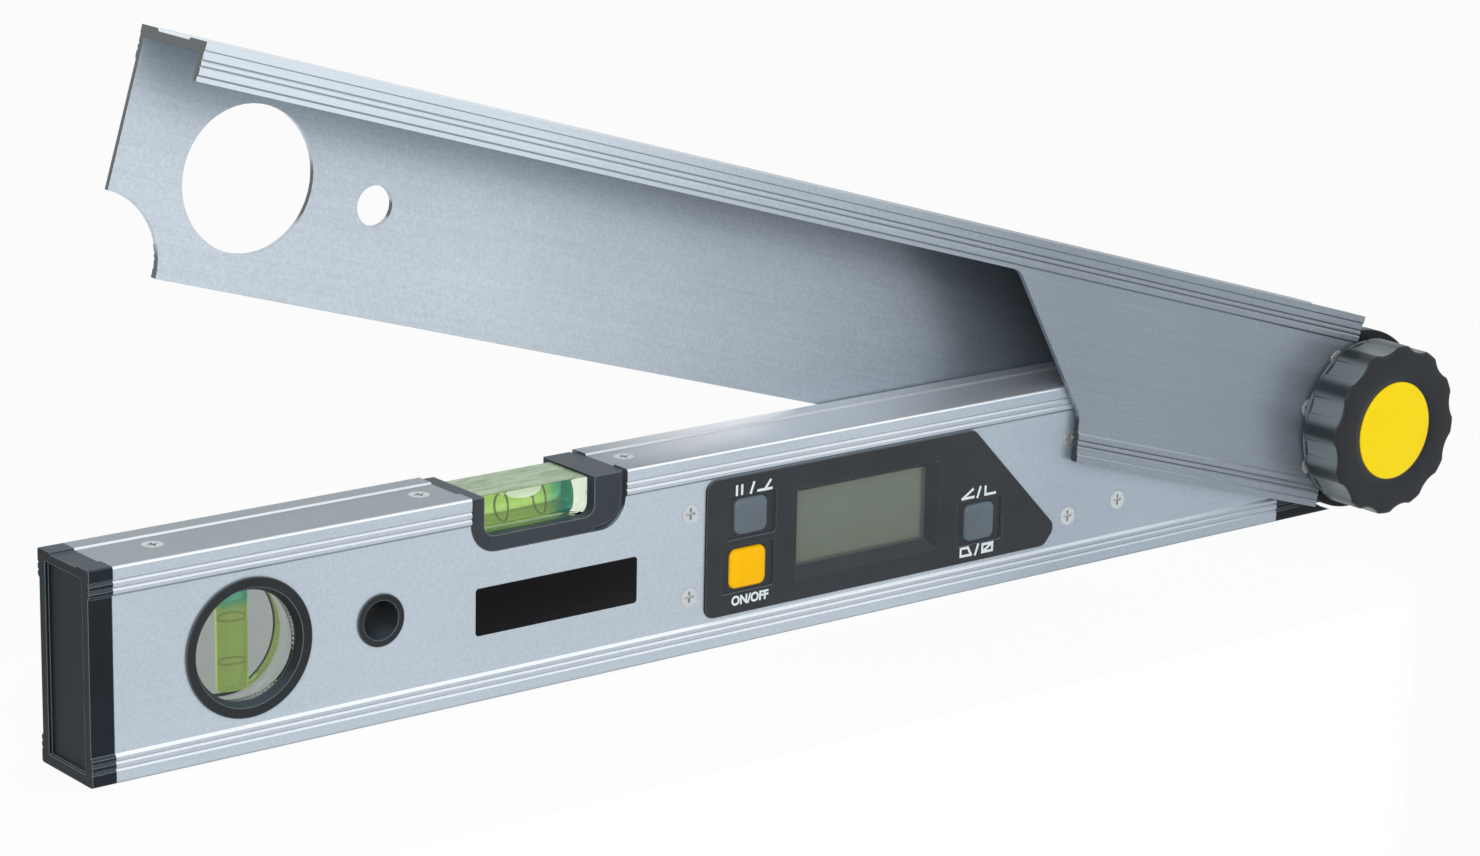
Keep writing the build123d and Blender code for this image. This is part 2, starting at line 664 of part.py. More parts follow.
def button_hole(button, grow, grow_height=None):
    """A button's edges, moved out by grow, or by grow_height at its low and top edges."""
    x0, x1, z0, z1 = button
    rise = grow if grow_height is None else grow_height
    return (station(x0) - grow, station(x1) + grow, z0 - rise, z1 + rise)


def make_display_bezel():
    """The black face plate in the body's window, with the screen frame and button holes."""
    solid = prism_y(display_outline(), PLATE_FRONT, PLATE_BACK)
    solid += prism_y(display_outline(DISPLAY_RIM), -CAVITY_HALF, PLATE_BACK)
    x0 = station(LCD_START)
    x1 = station(LCD_END)
    frame = outline([(x0 - LCD_OVERLAP, LCD_LOW - LCD_FRAME_LOW),
                     (x1 + LCD_FRAME_SIDE, LCD_LOW - LCD_FRAME_LOW),
                     (x1 + LCD_FRAME_SIDE, LCD_TOP + LCD_OVERLAP),
                     (x0 - LCD_OVERLAP, LCD_TOP + LCD_OVERLAP)])
    glass = outline([(x0, LCD_LOW), (x1, LCD_LOW), (x1, LCD_TOP), (x0, LCD_TOP)])
    mouth = Plane.XZ.offset(-PLATE_FRONT) * frame
    throat = Plane.XZ.offset(-LCD_FRONT) * glass
    solid -= loft([mouth, throat])
    solid -= box(x0, x1, PLATE_FRONT, PLATE_BACK + OVERCUT, LCD_LOW, LCD_TOP)
    solid -= box(x0 - LCD_OVERLAP, x1 + LCD_OVERLAP, LCD_FRONT, PLATE_BACK + OVERCUT,
                 LCD_LOW - LCD_OVERLAP, LCD_TOP + LCD_OVERLAP)
    for button in (BUTTON_HOLD, BUTTON_POWER, BUTTON_MODE):
        solid -= slab_y(*button_hole(button, FIT), BUTTON_CORNER,
                        PLATE_FRONT - OVERCUT, PLATE_BACK + OVERCUT)
        solid -= slab_y(*button_hole(button, BUTTON_RECESS_SIDE, BUTTON_RECESS_EDGE),
                        BUTTON_RECESS_CORNER, PLATE_FRONT - OVERCUT,
                        PLATE_FRONT + BUTTON_RECESS_DEPTH)
    return solid


def make_display_housing():
    """The moulded tray behind the near wall, with ears that take the face screws."""
    back = HOUSING_FRONT + HOUSING_DEPTH
    inner_x0 = station(DISPLAY_START) - DISPLAY_RIM - FIT
    inner_x1 = station(DISPLAY_TIP) + DISPLAY_TIP_OFFSET * DISPLAY_RIM + FIT
    wall_low = CAVITY_LOW + FIT
    wall_top = CAVITY_TOP - FIT
    solid = box(inner_x0 - HOUSING_WALL, inner_x1 + HOUSING_WALL, HOUSING_FRONT, back,
                wall_low, wall_top)
    for side in (-1, 1):
        z = MID_HEIGHT + side * FACE_SCREW_OFFSET
        solid += box(HOUSING_START, HOUSING_END, HOUSING_FRONT, back,
                     z - HOUSING_EAR_HEIGHT / 2, z + HOUSING_EAR_HEIGHT / 2)
    solid -= box(inner_x0, inner_x1, HOUSING_FRONT - OVERCUT, back + OVERCUT,
                 wall_low + HOUSING_WALL, wall_top - HOUSING_WALL)
    for x, z in face_screw_places()[:4]:
        solid -= facing(x, -HALF_MAIN, z, NEAR) * screw_hole()
    return solid


def lcd_layer(y0, y1):
    """One flat layer of the screen, which laps behind the frame on every side."""
    lap = LCD_OVERLAP - FIT
    return box(station(LCD_START) - lap, station(LCD_END) + lap, y0, y1,
               LCD_LOW - lap, LCD_TOP + lap)


def make_lcd_window():
    return lcd_layer(LCD_FRONT, LCD_FRONT + WINDOW_THICKNESS)


def make_lcd_panel():
    return lcd_layer(LCD_FRONT + WINDOW_THICKNESS, LCD_BACK)


def button_centres():
    centres = []
    for x0, x1, z0, z1 in (BUTTON_HOLD, BUTTON_POWER, BUTTON_MODE):
        centres.append((station((x0 + x1) / 2), (z0 + z1) / 2))
    return centres


def make_circuit_board():
    x0 = station(DISPLAY_START) + FIT
    x1 = station(DISPLAY_TIP) - FIT
    low = CAVITY_LOW + HOUSING_WALL + 2 * FIT
    high = CAVITY_TOP - HOUSING_WALL - 2 * FIT
    board = box(x0, x1, BOARD_FRONT, BOARD_BACK, low, high)
    margin = BOARD_MARGIN
    x0 = station(LCD_START) + margin
    x1 = station(LCD_END) - margin
    spacer = box(x0, x1, LCD_BACK, BOARD_FRONT, LCD_LOW, LCD_LOW + margin)
    spacer += box(x0, x1, LCD_BACK, BOARD_FRONT, LCD_TOP - margin, LCD_TOP)
    half_socket = RIBBON_WIDTH / 2 + SOCKET_END_WALL
    socket = box(RIBBON_X - SOCKET_THICKNESS / 2, RIBBON_X + SOCKET_THICKNESS / 2,
                 BOARD_BACK, BOARD_BACK + SOCKET_HEIGHT,
                 MID_HEIGHT - half_socket, MID_HEIGHT + half_socket)
    slot = box(RIBBON_X - RIBBON_THICKNESS / 2, RIBBON_X + RIBBON_THICKNESS / 2,
               BOARD_BACK + SOCKET_FLOOR, BOARD_BACK + SOCKET_HEIGHT + OVERCUT,
               MID_HEIGHT - RIBBON_WIDTH / 2, MID_HEIGHT + RIBBON_WIDTH / 2)
    return board + spacer + (socket - slot)


def make_switches():
    switches = []
    half = SWITCH_SIZE / 2
    for x, z in button_centres():
        base = box(x - half, x + half, BOARD_FRONT - SWITCH_HEIGHT, BOARD_FRONT,
                   z - half, z + half)
        plunger = disc_y(x, z, SWITCH_PLUNGER_RADIUS, PLUNGER_TOP, BOARD_FRONT - SWITCH_HEIGHT)
        switches.append(base + plunger)
    return switches


def make_button(button):
    """A push cap with a flange behind the face plate."""
    cap = slab_y(*button_hole(button, 0), BUTTON_CORNER,
                 PLATE_FRONT + BUTTON_RECESS_DEPTH - BUTTON_RISE, FLANGE_BACK)
    cap = fillet(cap.faces().sort_by(Axis.Y)[0].edges(), BUTTON_EDGE_ROUND)
    flange = slab_y(*button_hole(button, BUTTON_FLANGE), BUTTON_CORNER,
                    FLANGE_FRONT, FLANGE_BACK)
    return cap + flange


def make_battery_tray():
    half_length = TRAY_LENGTH / 2
    half_height = TRAY_HEIGHT / 2
    front = BOARD_BACK
    tray = box(TRAY_X - half_length, TRAY_X + half_length, front, CAVITY_HALF - FIT,
               TRAY_Z - half_height, TRAY_Z + half_height)
    inner = half_length - TRAY_WALL
    tray -= box(TRAY_X - inner, TRAY_X + inner, front + TRAY_WALL, HALF_BODY,
                TRAY_Z - half_height + TRAY_WALL, TRAY_Z + half_height - TRAY_WALL)
    for side in (-1, 1):
        tray -= rod_x(CELL_Y, TRAY_Z + side * CELL_SPACING / 2, CELL_RADIUS + FIT,
                      TRAY_X - inner, TRAY_X + inner)
    return tray


def make_cells():
    cells = []
    for side in (-1, 1):
        z = TRAY_Z + side * CELL_SPACING / 2
        end = TRAY_X - side * CELL_LENGTH / 2
        shoulder = end + side * CELL_NUB_HEIGHT
        other = TRAY_X + side * CELL_LENGTH / 2
        cell = rod_x(CELL_Y, z, CELL_RADIUS, min(shoulder, other), max(shoulder, other))
        cell += rod_x(CELL_Y, z, CELL_NUB_RADIUS, min(end, shoulder), max(end, shoulder))
        cells.append(cell)
    return cells


def make_contacts():
    contacts = []
    half = CELL_LENGTH / 2
    reach = CONTACT_HALF
    for end in (-1, 1):
        x0, x1 = sorted((TRAY_X + end * half, TRAY_X + end * (half + CONTACT_THICKNESS)))
        for side in (-1, 1):
            z = TRAY_Z + side * CELL_SPACING / 2
            contacts.append(box(x0, x1, CELL_Y - reach, CELL_Y + reach, z - reach, z + reach))
    return contacts


def make_battery_cover():
    cover = slab_y(TRAY_X - HALF_COVER, TRAY_X + HALF_COVER, TRAY_Z - HALF_COVER_HEIGHT,
                   TRAY_Z + HALF_COVER_HEIGHT, COVER_CORNER,
                   CAVITY_HALF, CAVITY_HALF + COVER_THICKNESS)
    for step in range(COVER_GRIPS):
        x = TRAY_X - HALF_COVER + COVER_GRIP_INSET + step * COVER_GRIP_PITCH
        cover -= box(x, x + COVER_GRIP_WIDTH, CAVITY_HALF + COVER_THICKNESS - COVER_GRIP_DEPTH,
                     HALF_BODY, TRAY_Z - COVER_GRIP_HALF, TRAY_Z + COVER_GRIP_HALF)
    head = facing(COVER_SCREW_X, CAVITY_HALF + COVER_THICKNESS, TRAY_Z, FAR)
    return cover - head * screw_hole()


def make_cover_boss():
    """The post on the board's back that takes the battery cover's screw."""
    half = COVER_BOSS_HALF
    post = box(COVER_SCREW_X - half, COVER_SCREW_X + half, BOARD_BACK, CAVITY_HALF - RUNNING,
               TRAY_Z - half, TRAY_Z + half)
    head = facing(COVER_SCREW_X, CAVITY_HALF + COVER_THICKNESS, TRAY_Z, FAR)
    return post - head * screw_hole()


# ---- pivot end of the body ----------------------------------------------

RIBBON_X = station(DISPLAY_TIP) - RIBBON_INSET
RIBBON_Y = TONGUE_HALF - RIBBON_THICKNESS - 2 * FIT
SENSOR_BACK = TONGUE_HALF - SENSOR_THICKNESS - FIT


def make_body_hub():
    """The moulded pivot end: a plug in the extrusion, a hollow-ended collar and a tongue."""
    collar = extrude(Plane.YZ.offset(PROFILE_END) * body_section(), amount=PIVOT_X - PROFILE_END)
    reach = HALF_BODY + OVERCUT
    swing = disc_y(PIVOT_X, PIVOT_Z, COLLAR_RADIUS, -reach, reach)
    swing += box(PIVOT_X - SWING_GAP, PIVOT_X + OVERCUT, -reach, reach,
                 -OVERCUT, BODY_HEIGHT + OVERCUT)
    collar -= swing
    plug_start = HUB_PLUG_START
    plug = cavity(plug_start, PROFILE_END, FIT)
    margin = HUB_POCKET_MARGIN
    for side in (-1, 1):
        y0, y1 = sorted((side * HUB_WEB_HALF, side * reach))
        plug -= box(plug_start + 2 * margin, PROFILE_END - margin, y0, y1,
                    CAVITY_LOW + margin, CAVITY_TOP - margin)
    tongue = box(PROFILE_END, PIVOT_X, -TONGUE_HALF, TONGUE_HALF,
                 PIVOT_Z - TONGUE_RADIUS, PIVOT_Z + TONGUE_RADIUS)
    tongue += disc_y(PIVOT_X, PIVOT_Z, TONGUE_RADIUS, -TONGUE_HALF, TONGUE_HALF)
    solid = collar + plug + tongue
    solid -= disc_y(PIVOT_X, PIVOT_Z, BUSH_RADIUS + RUNNING, -reach, reach)
    solid -= ring_y(PIVOT_X, PIVOT_Z, SENSOR_RADIUS + FIT, SENSOR_BORE - FIT,
                    SENSOR_BACK, TONGUE_HALF + OVERCUT)
    half = RIBBON_WIDTH / 2 + FIT
    channel_end = PIVOT_X - SENSOR_BORE - OVERCUT
    solid -= box(plug_start - OVERCUT, channel_end, RIBBON_Y - FIT, TONGUE_HALF,
                 PIVOT_Z - half, PIVOT_Z + half)
    solid -= box(PROFILE_END, channel_end, RIBBON_Y - FIT, HALF_BODY - RIBBON_CHANNEL_DEPTH,
                 PIVOT_Z - half, PIVOT_Z + half)
    for x, z in face_screw_places()[4:]:
        solid -= facing(x, -HALF_MAIN, z, NEAR) * screw_hole()
    return solid


def make_sensor_ribbon():
    half = RIBBON_WIDTH / 2 - FIT / 2
    low = PIVOT_Z - half
    high = PIVOT_Z + half
    run = box(RIBBON_X - RIBBON_THICKNESS / 2 + FIT / 2, PIVOT_X - SENSOR_RADIUS - FIT,
              RIBBON_Y, RIBBON_Y + RIBBON_THICKNESS - FIT, low, high)
    drop = box(RIBBON_X - RIBBON_THICKNESS / 2 + FIT / 2,
               RIBBON_X + RIBBON_THICKNESS / 2 - FIT / 2,
               BOARD_BACK + SOCKET_FLOOR + FIT, RIBBON_Y + RIBBON_THICKNESS - FIT, low, high)
    return run + drop


def make_sensor_stator():
    return ring_y(PIVOT_X, PIVOT_Z, SENSOR_RADIUS, SENSOR_BORE,
                  TONGUE_HALF - SENSOR_THICKNESS, TONGUE_HALF)


def make_pivot_bush():
    return ring_y(PIVOT_X, PIVOT_Z, BUSH_RADIUS, BOLT_RADIUS + RUNNING,
                  -TONGUE_HALF, TONGUE_HALF)


# ---- the arm, drawn folded ----------------------------------------------

ROTOR_FACE = TONGUE_HALF + SENSOR_GAP
ROTOR_BACK = ROTOR_FACE + SENSOR_THICKNESS
BOLT_HEAD_BACK = ARM_INNER - FIT - BOLT_HEAD_HEIGHT
ARM_LOW = PIVOT_Z - ARM_BELOW_PIVOT
ARM_HIGH = PIVOT_Z + WEB_OUTER


def arm_section():
    """The arm's channel section in (y, z), open downwards."""
    sides = {}
    for sign in (-1, 1):
        sides[sign] = grooved_side(sign, ARM_BAND, ARM_BAND_RISE, ARM_LIP_RISE,
                                   ARM_LIP_HEIGHT, ARM_LOW, ARM_HIGH, ARM_BAND_HEIGHT,
                                   ARM_GROOVES, ARM_GROOVE_DEPTH)
    half = ARM_WEB_RECESS_WIDTH / 2
    depth = ARM_WEB_RECESS_DEPTH
    top = [(-half - depth, ARM_HIGH), (-half, ARM_HIGH - depth)]
    top += [(half, ARM_HIGH - depth), (half + depth, ARM_HIGH)]
    inside = [(ARM_INNER, ARM_LOW), (ARM_INNER, PIVOT_Z + WEB_INNER)]
    inside += [(-ARM_INNER, PIVOT_Z + WEB_INNER), (-ARM_INNER, ARM_LOW)]
    return outline(sides[-1] + top + list(reversed(sides[1])) + inside)


def cheek_screw_places():
    """Countersunk screws that hold each cheek to its wall, in (x, z), folded."""
    places = []
    for angle in CHEEK_SCREW_ANGLES:
        reach = CHEEK_SCREW_CIRCLE * cos(radians(angle))
        rise = CHEEK_SCREW_CIRCLE * sin(radians(angle))
        places.append((folded(reach), PIVOT_Z + rise))
    return places


def make_arm_profile():
    arm_end = ARM_START + ARM_LENGTH
    solid = extrude(Plane.YZ.offset(folded(arm_end)) * arm_section(), amount=ARM_LENGTH)
    strip_low = ARM_HIGH - STRIP_HEIGHT
    past_end = folded(arm_end) - OVERCUT
    cut = [(past_end, strip_low), (folded(CUT_TOP_REACH), strip_low),
           (folded(CUT_KINK_REACH), PIVOT_Z - CUT_KINK_DROP),
           (folded(CUT_LOW_REACH), ARM_LOW - OVERCUT), (past_end, ARM_LOW - OVERCUT)]
    inside = folded(arm_end)
    rounded = outline(cut, CUT_ROUND, lambda v: v.X > inside and v.Y > ARM_LOW)
    reach = ARM_LIP + OVERCUT
    solid -= prism_y(rounded, -reach, 0)
    solid -= disc_y(station(PLUMB_STATION), PIVOT_Z, ARM_VIAL_HOLE, 0, reach)
    solid -= disc_y(station(HANG_STATION), PIVOT_Z, ARM_HANG_HOLE, 0, reach)
    solid -= disc_y(folded(arm_end), ARM_LOW, FINGER_NOTCH, 0, reach)
    for x, z in cheek_screw_places():
        solid -= facing(x, -ARM_MAIN, z, NEAR) * screw_hole()
        solid -= facing(x, ARM_MAIN, z, FAR) * screw_hole()
    return solid


def cheek(side):
    """A round plastic cheek inside one arm wall, turning beside the tongue."""
    y0, y1 = sorted((side * CHEEK_INNER, side * ARM_INNER))
    solid = disc_y(PIVOT_X, PIVOT_Z + CHEEK_LIFT, CHEEK_RADIUS, y0, y1)
    solid -= disc_y(PIVOT_X, PIVOT_Z, BOLT_RADIUS + RUNNING, y0 - OVERCUT, y1 + OVERCUT)
    normal = NEAR if side < 0 else FAR
    for x, z in cheek_screw_places():
        solid -= facing(x, side * ARM_MAIN, z, normal) * screw_hole()
    return solid


def make_far_cheek():
    solid = cheek(1)
    solid -= ring_y(PIVOT_X, PIVOT_Z, SENSOR_RADIUS + FIT, SENSOR_BORE - FIT,
                    CHEEK_INNER - OVERCUT, ROTOR_BACK)
    solid -= disc_y(PIVOT_X, PIVOT_Z, BOLT_HEAD_RADIUS + FIT, BOLT_HEAD_BACK,
                    ARM_INNER + OVERCUT)
    return solid


def make_sensor_rotor():
    return ring_y(PIVOT_X, PIVOT_Z, SENSOR_RADIUS, SENSOR_BORE, ROTOR_FACE, ROTOR_BACK)


def make_friction_washers():
    washers = []
    for side in (-1, 1):
        y0, y1 = sorted((side * TONGUE_HALF, side * CHEEK_INNER))
        washers.append(ring_y(PIVOT_X, PIVOT_Z, WASHER_RADIUS, BOLT_RADIUS + RUNNING, y0, y1))
    return washers


def make_pivot_bolt():
    tip = -(KNOB_FACE - DISC_RECESS - KNOB_FACE_WALL)
    bolt = disc_y(PIVOT_X, PIVOT_Z, BOLT_RADIUS, tip + BOLT_TIP_GAP, BOLT_HEAD_BACK)
    head = disc_y(PIVOT_X, PIVOT_Z, BOLT_HEAD_RADIUS, BOLT_HEAD_BACK, ARM_INNER - FIT)
    hexagon = Pos(PIVOT_X, PIVOT_Z) * RegularPolygon(BOLT_SOCKET_RADIUS, 6)
    return bolt + head - extrude(Plane.XZ.offset(-ARM_INNER) * hexagon, amount=BOLT_SOCKET_DEPTH)


def make_hub_cap():
    cap = disc_y(PIVOT_X, PIVOT_Z, HUB_CAP_RADIUS, ARM_INNER, ARM_INNER + HUB_CAP_HEIGHT)
    rim = cap.edges().filter_by(GeomType.CIRCLE).sort_by(Axis.Y)[-1]
    return fillet(rim, HUB_CAP_ROUND)


def make_cheek_screws():
    screws = []
    for x, z in cheek_screw_places():
        screws.append(facing(x, -ARM_MAIN, z, NEAR) * screw(SCREW_LENGTH - CHEEK_SCREW_SHORTER))
        screws.append(facing(x, ARM_MAIN, z, FAR) * screw(SCREW_LENGTH - CHEEK_SCREW_SHORTER))
    return screws


# ---- the locking knob ---------------------------------------------------

KNOB_HOLLOW = -(KNOB_FACE - DISC_RECESS - KNOB_FACE_WALL)


def make_knob():
    """A hollow knob with twelve lobes, a round skirt and a boss for the threaded insert."""
    face = Circle(KNOB_RADIUS)
    reach = KNOB_VALLEY + KNOB_VALLEY_CUTTER
    for index in range(KNOB_LOBES):
        angle = radians(KNOB_LOBE_PHASE + (index + 0.5) * 360 / KNOB_LOBES)
        face -= Pos(reach * cos(angle), reach * sin(angle)) * Circle(KNOB_VALLEY_CUTTER)
    place = Plane.XZ.offset(KNOB_FACE) * Pos(PIVOT_X, PIVOT_Z)
    solid = extrude(place * face, amount=-(KNOB_FACE - KNOB_BACK))
    taper_height = KNOB_FACE_CHAMFER + OVERCUT
    taper = Cone(KNOB_RADIUS - KNOB_FACE_CHAMFER, KNOB_RADIUS + OVERCUT, taper_height)
    lead = Plane(origin=(PIVOT_X, -KNOB_FACE, PIVOT_Z), z_dir=FAR).location
    tall = 2 * KNOB_FACE
    blank = lead * Pos(0, 0, taper_height / 2) * taper
    blank += lead * Pos(0, 0, taper_height + tall / 2) * Cylinder(KNOB_RADIUS + OVERCUT, tall)
    solid &= blank
    solid += disc_y(PIVOT_X, PIVOT_Z, KNOB_SKIRT_RADIUS, -KNOB_BACK - KNOB_SKIRT_HEIGHT, -KNOB_BACK)
    hollow = disc_y(PIVOT_X, PIVOT_Z, KNOB_VALLEY - KNOB_WALL, KNOB_HOLLOW, 0)
    hollow -= disc_y(PIVOT_X, PIVOT_Z, KNOB_BOSS_RADIUS, KNOB_HOLLOW - OVERCUT, OVERCUT)
    for index in range(KNOB_RIBS):
        rib = box(KNOB_BOSS_RADIUS - OVERCUT, KNOB_RADIUS, KNOB_HOLLOW - OVERCUT, -KNOB_BACK,
                  -KNOB_RIB_WIDTH / 2, KNOB_RIB_WIDTH / 2)
        turn = Pos(PIVOT_X, 0, PIVOT_Z) * Rot(0, index * 360 / KNOB_RIBS, 0)
        hollow -= turn * rib
    solid -= hollow
    solid -= disc_y(PIVOT_X, PIVOT_Z, DISC_RADIUS + FIT, -KNOB_FACE - OVERCUT,
                    -KNOB_FACE + DISC_RECESS)
    solid -= disc_y(PIVOT_X, PIVOT_Z, BOLT_RADIUS + FIT, KNOB_HOLLOW, 0)
    solid -= disc_y(PIVOT_X, PIVOT_Z, INSERT_RADIUS + RUNNING, -KNOB_BACK - INSERT_LENGTH, 0)
    return solid


def make_knob_disc():
    return disc_y(PIVOT_X, PIVOT_Z, DISC_RADIUS, -KNOB_FACE + DISC_SUNK, -KNOB_FACE + DISC_RECESS)


def make_knob_insert():
    start = -KNOB_BACK - INSERT_LENGTH
    return ring_y(PIVOT_X, PIVOT_Z, INSERT_RADIUS, BOLT_RADIUS + RUNNING, start, -KNOB_BACK)


def make_thrust_washer():
    return ring_y(PIVOT_X, PIVOT_Z, THRUST_RADIUS, BOLT_RADIUS + RUNNING, -KNOB_BACK, -ARM_INNER)


# ---- write every piece --------------------------------------------------

def swing_open(shape):
    """Turn a folded arm piece about the pivot to the rest angle."""
    return shape.rotate(Axis((PIVOT_X, 0, PIVOT_Z), (0, 1, 0)), REST_ANGLE)


def save(name, shapes, on_arm=False):
    """Write one node; a list stays a group of separate solids."""
    solids = shapes if isinstance(shapes, list) else [shapes]
    if on_arm:
        solids = [swing_open(shape) for shape in solids]
    group = solids[0] if len(solids) == 1 else Compound(children=solids)
    export_step(group, f"parts/{name}.step")


def make_face_screws():
    return [facing(x, -HALF_MAIN, z, NEAR) * screw() for x, z in face_screw_places()]


def make_top_screws():
    level = BODY_HEIGHT - TOP_RECESS_DEPTH
    return [facing(station(place), 0, level, UP) * screw() for place in TOP_SCREW_STATIONS]


def make_cover_screw():
    return facing(COVER_SCREW_X, CAVITY_HALF + COVER_THICKNESS, TRAY_Z, FAR) * screw()


os.makedirs("parts", exist_ok=True)

save("body_profile", make_body_profile())
save("end_cap", make_end_cap())
save("body_hub", make_body_hub())
save("plumb_bezel_front", plumb_bezel(-1))
save("plumb_bezel_rear", plumb_bezel(1))
save("plumb_vial_block", make_plumb_block())
save("plumb_vial_fluid", make_plumb_fluid())
save("plumb_vial_rings", plumb_rings())
save("hang_grommet", make_grommet())
save("level_vial_cradle", make_level_cradle())
save("level_vial_block", make_level_block())
save("level_vial_fluid", make_level_fluid())
save("level_vial_rings", level_rings())
save("display_bezel", make_display_bezel())
save("display_housing", make_display_housing())
save("lcd_window", make_lcd_window())
save("lcd_panel", make_lcd_panel())
save("circuit_board", make_circuit_board() + make_cover_boss())
save("tact_switches", make_switches())
save("button_hold", make_button(BUTTON_HOLD))
save("button_power", make_button(BUTTON_POWER))
save("button_mode", make_button(BUTTON_MODE))
save("battery_tray", make_battery_tray())
save("battery_cells", make_cells())
save("battery_contacts", make_contacts())
save("battery_cover", make_battery_cover())
save("battery_cover_screw", make_cover_screw())
save("face_screws", make_face_screws())
save("top_screws", make_top_screws())
save("angle_sensor_stator", make_sensor_stator())
save("sensor_ribbon", make_sensor_ribbon())
save("pivot_bush", make_pivot_bush())

save("arm_profile", make_arm_profile(), on_arm=True)
save("arm_cheek_near", cheek(-1), on_arm=True)
save("arm_cheek_far", make_far_cheek(), on_arm=True)
save("cheek_screws", make_cheek_screws(), on_arm=True)
save("angle_sensor_rotor", make_sensor_rotor(), on_arm=True)
save("friction_washers", make_friction_washers(), on_arm=True)
save("pivot_bolt", make_pivot_bolt(), on_arm=True)
save("hub_cap_far", make_hub_cap(), on_arm=True)

save("thrust_washer", make_thrust_washer(), on_arm=True)
save("lock_knob", make_knob(), on_arm=True)
save("knob_disc", make_knob_disc(), on_arm=True)
save("knob_insert", make_knob_insert(), on_arm=True)
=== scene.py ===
from math import cos, hypot, pi, radians, sin, sqrt, tau

import bmesh
import bpy
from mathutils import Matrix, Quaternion, Vector


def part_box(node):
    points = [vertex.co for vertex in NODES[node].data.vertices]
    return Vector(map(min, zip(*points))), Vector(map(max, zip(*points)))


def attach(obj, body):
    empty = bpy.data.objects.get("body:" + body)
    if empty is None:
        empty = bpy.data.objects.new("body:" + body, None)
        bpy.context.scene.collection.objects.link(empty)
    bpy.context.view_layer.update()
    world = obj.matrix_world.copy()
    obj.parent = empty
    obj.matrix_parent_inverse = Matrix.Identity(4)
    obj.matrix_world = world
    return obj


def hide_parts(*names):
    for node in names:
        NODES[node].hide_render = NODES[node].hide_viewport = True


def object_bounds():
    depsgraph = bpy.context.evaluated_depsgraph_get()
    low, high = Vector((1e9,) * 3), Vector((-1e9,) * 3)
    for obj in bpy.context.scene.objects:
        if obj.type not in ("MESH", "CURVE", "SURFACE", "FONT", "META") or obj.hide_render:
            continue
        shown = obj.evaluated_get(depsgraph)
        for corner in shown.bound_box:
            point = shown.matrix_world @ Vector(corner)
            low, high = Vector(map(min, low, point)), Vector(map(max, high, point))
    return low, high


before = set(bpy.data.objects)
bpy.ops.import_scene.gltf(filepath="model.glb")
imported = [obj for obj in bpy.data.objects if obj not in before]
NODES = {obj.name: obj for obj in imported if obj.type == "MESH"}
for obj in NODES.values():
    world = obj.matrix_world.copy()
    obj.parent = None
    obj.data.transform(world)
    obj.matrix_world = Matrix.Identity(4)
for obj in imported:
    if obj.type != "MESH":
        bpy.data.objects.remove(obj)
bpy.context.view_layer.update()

# Digital angle finder: looks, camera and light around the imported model.
# All sizes are in metres. MM turns a size in millimetres into metres.

MM = 0.001

# the pivot's axis, and the knob's lobes round it
PIVOT_X, PIVOT_Z = 235.25 * MM, 28 * MM
LOBES = 12
FIRST_LOBE = radians(-4.5)


# ---- shader helpers -------------------------------------------------------

# sockets of the Mix node when it mixes colours, and its colour output
SHARE, FIRST, SECOND, MIXED = 0, 6, 7, 2


def colour(code):
    """An sRGB hex colour as linear RGBA."""
    values = [int(code[place:place + 2], 16) / 255 for place in (0, 2, 4)]
    linear = [v / 12.92 if v <= 0.04045 else ((v + 0.055) / 1.055) ** 2.4 for v in values]
    return (*linear, 1.0)


def add(tree, kind, settings=None, links=None):
    """Adds a node. Settings go to its properties or sockets, links to its sockets.

    A link comes from a socket, or from a node's first output or its mixed colour.
    """
    node = tree.nodes.new("ShaderNode" + kind)
    for key, value in (settings or {}).items():
        if isinstance(key, str) and hasattr(node, key):
            setattr(node, key, value)
        else:
            node.inputs[key].default_value = value
    for key, source in (links or {}).items():
        if isinstance(source, bpy.types.Node):
            source = source.outputs[MIXED if source.bl_idname == "ShaderNodeMix" else 0]
        tree.links.new(source, node.inputs[key])
    return node


def blank(name):
    """A new material, its empty node tree and its texture coordinates."""
    material = bpy.data.materials.new(name)
    material.use_nodes = True
    tree = material.node_tree
    tree.nodes.clear()
    return material, tree, add(tree, "TexCoord").outputs


def finished(material, settings, links):
    """The material with its shader and output."""
    tree = material.node_tree
    shader = add(tree, "BsdfPrincipled", settings, links)
    add(tree, "OutputMaterial", None, {"Surface": shader})
    return material


# ---- materials ------------------------------------------------------------

# the aluminium's die lines as they are drawn, and the grain of its etch
LINE_LENGTH, LINE_GAP = 40 * MM, 0.7 * MM
ETCH_GRAIN = 0.9 * MM


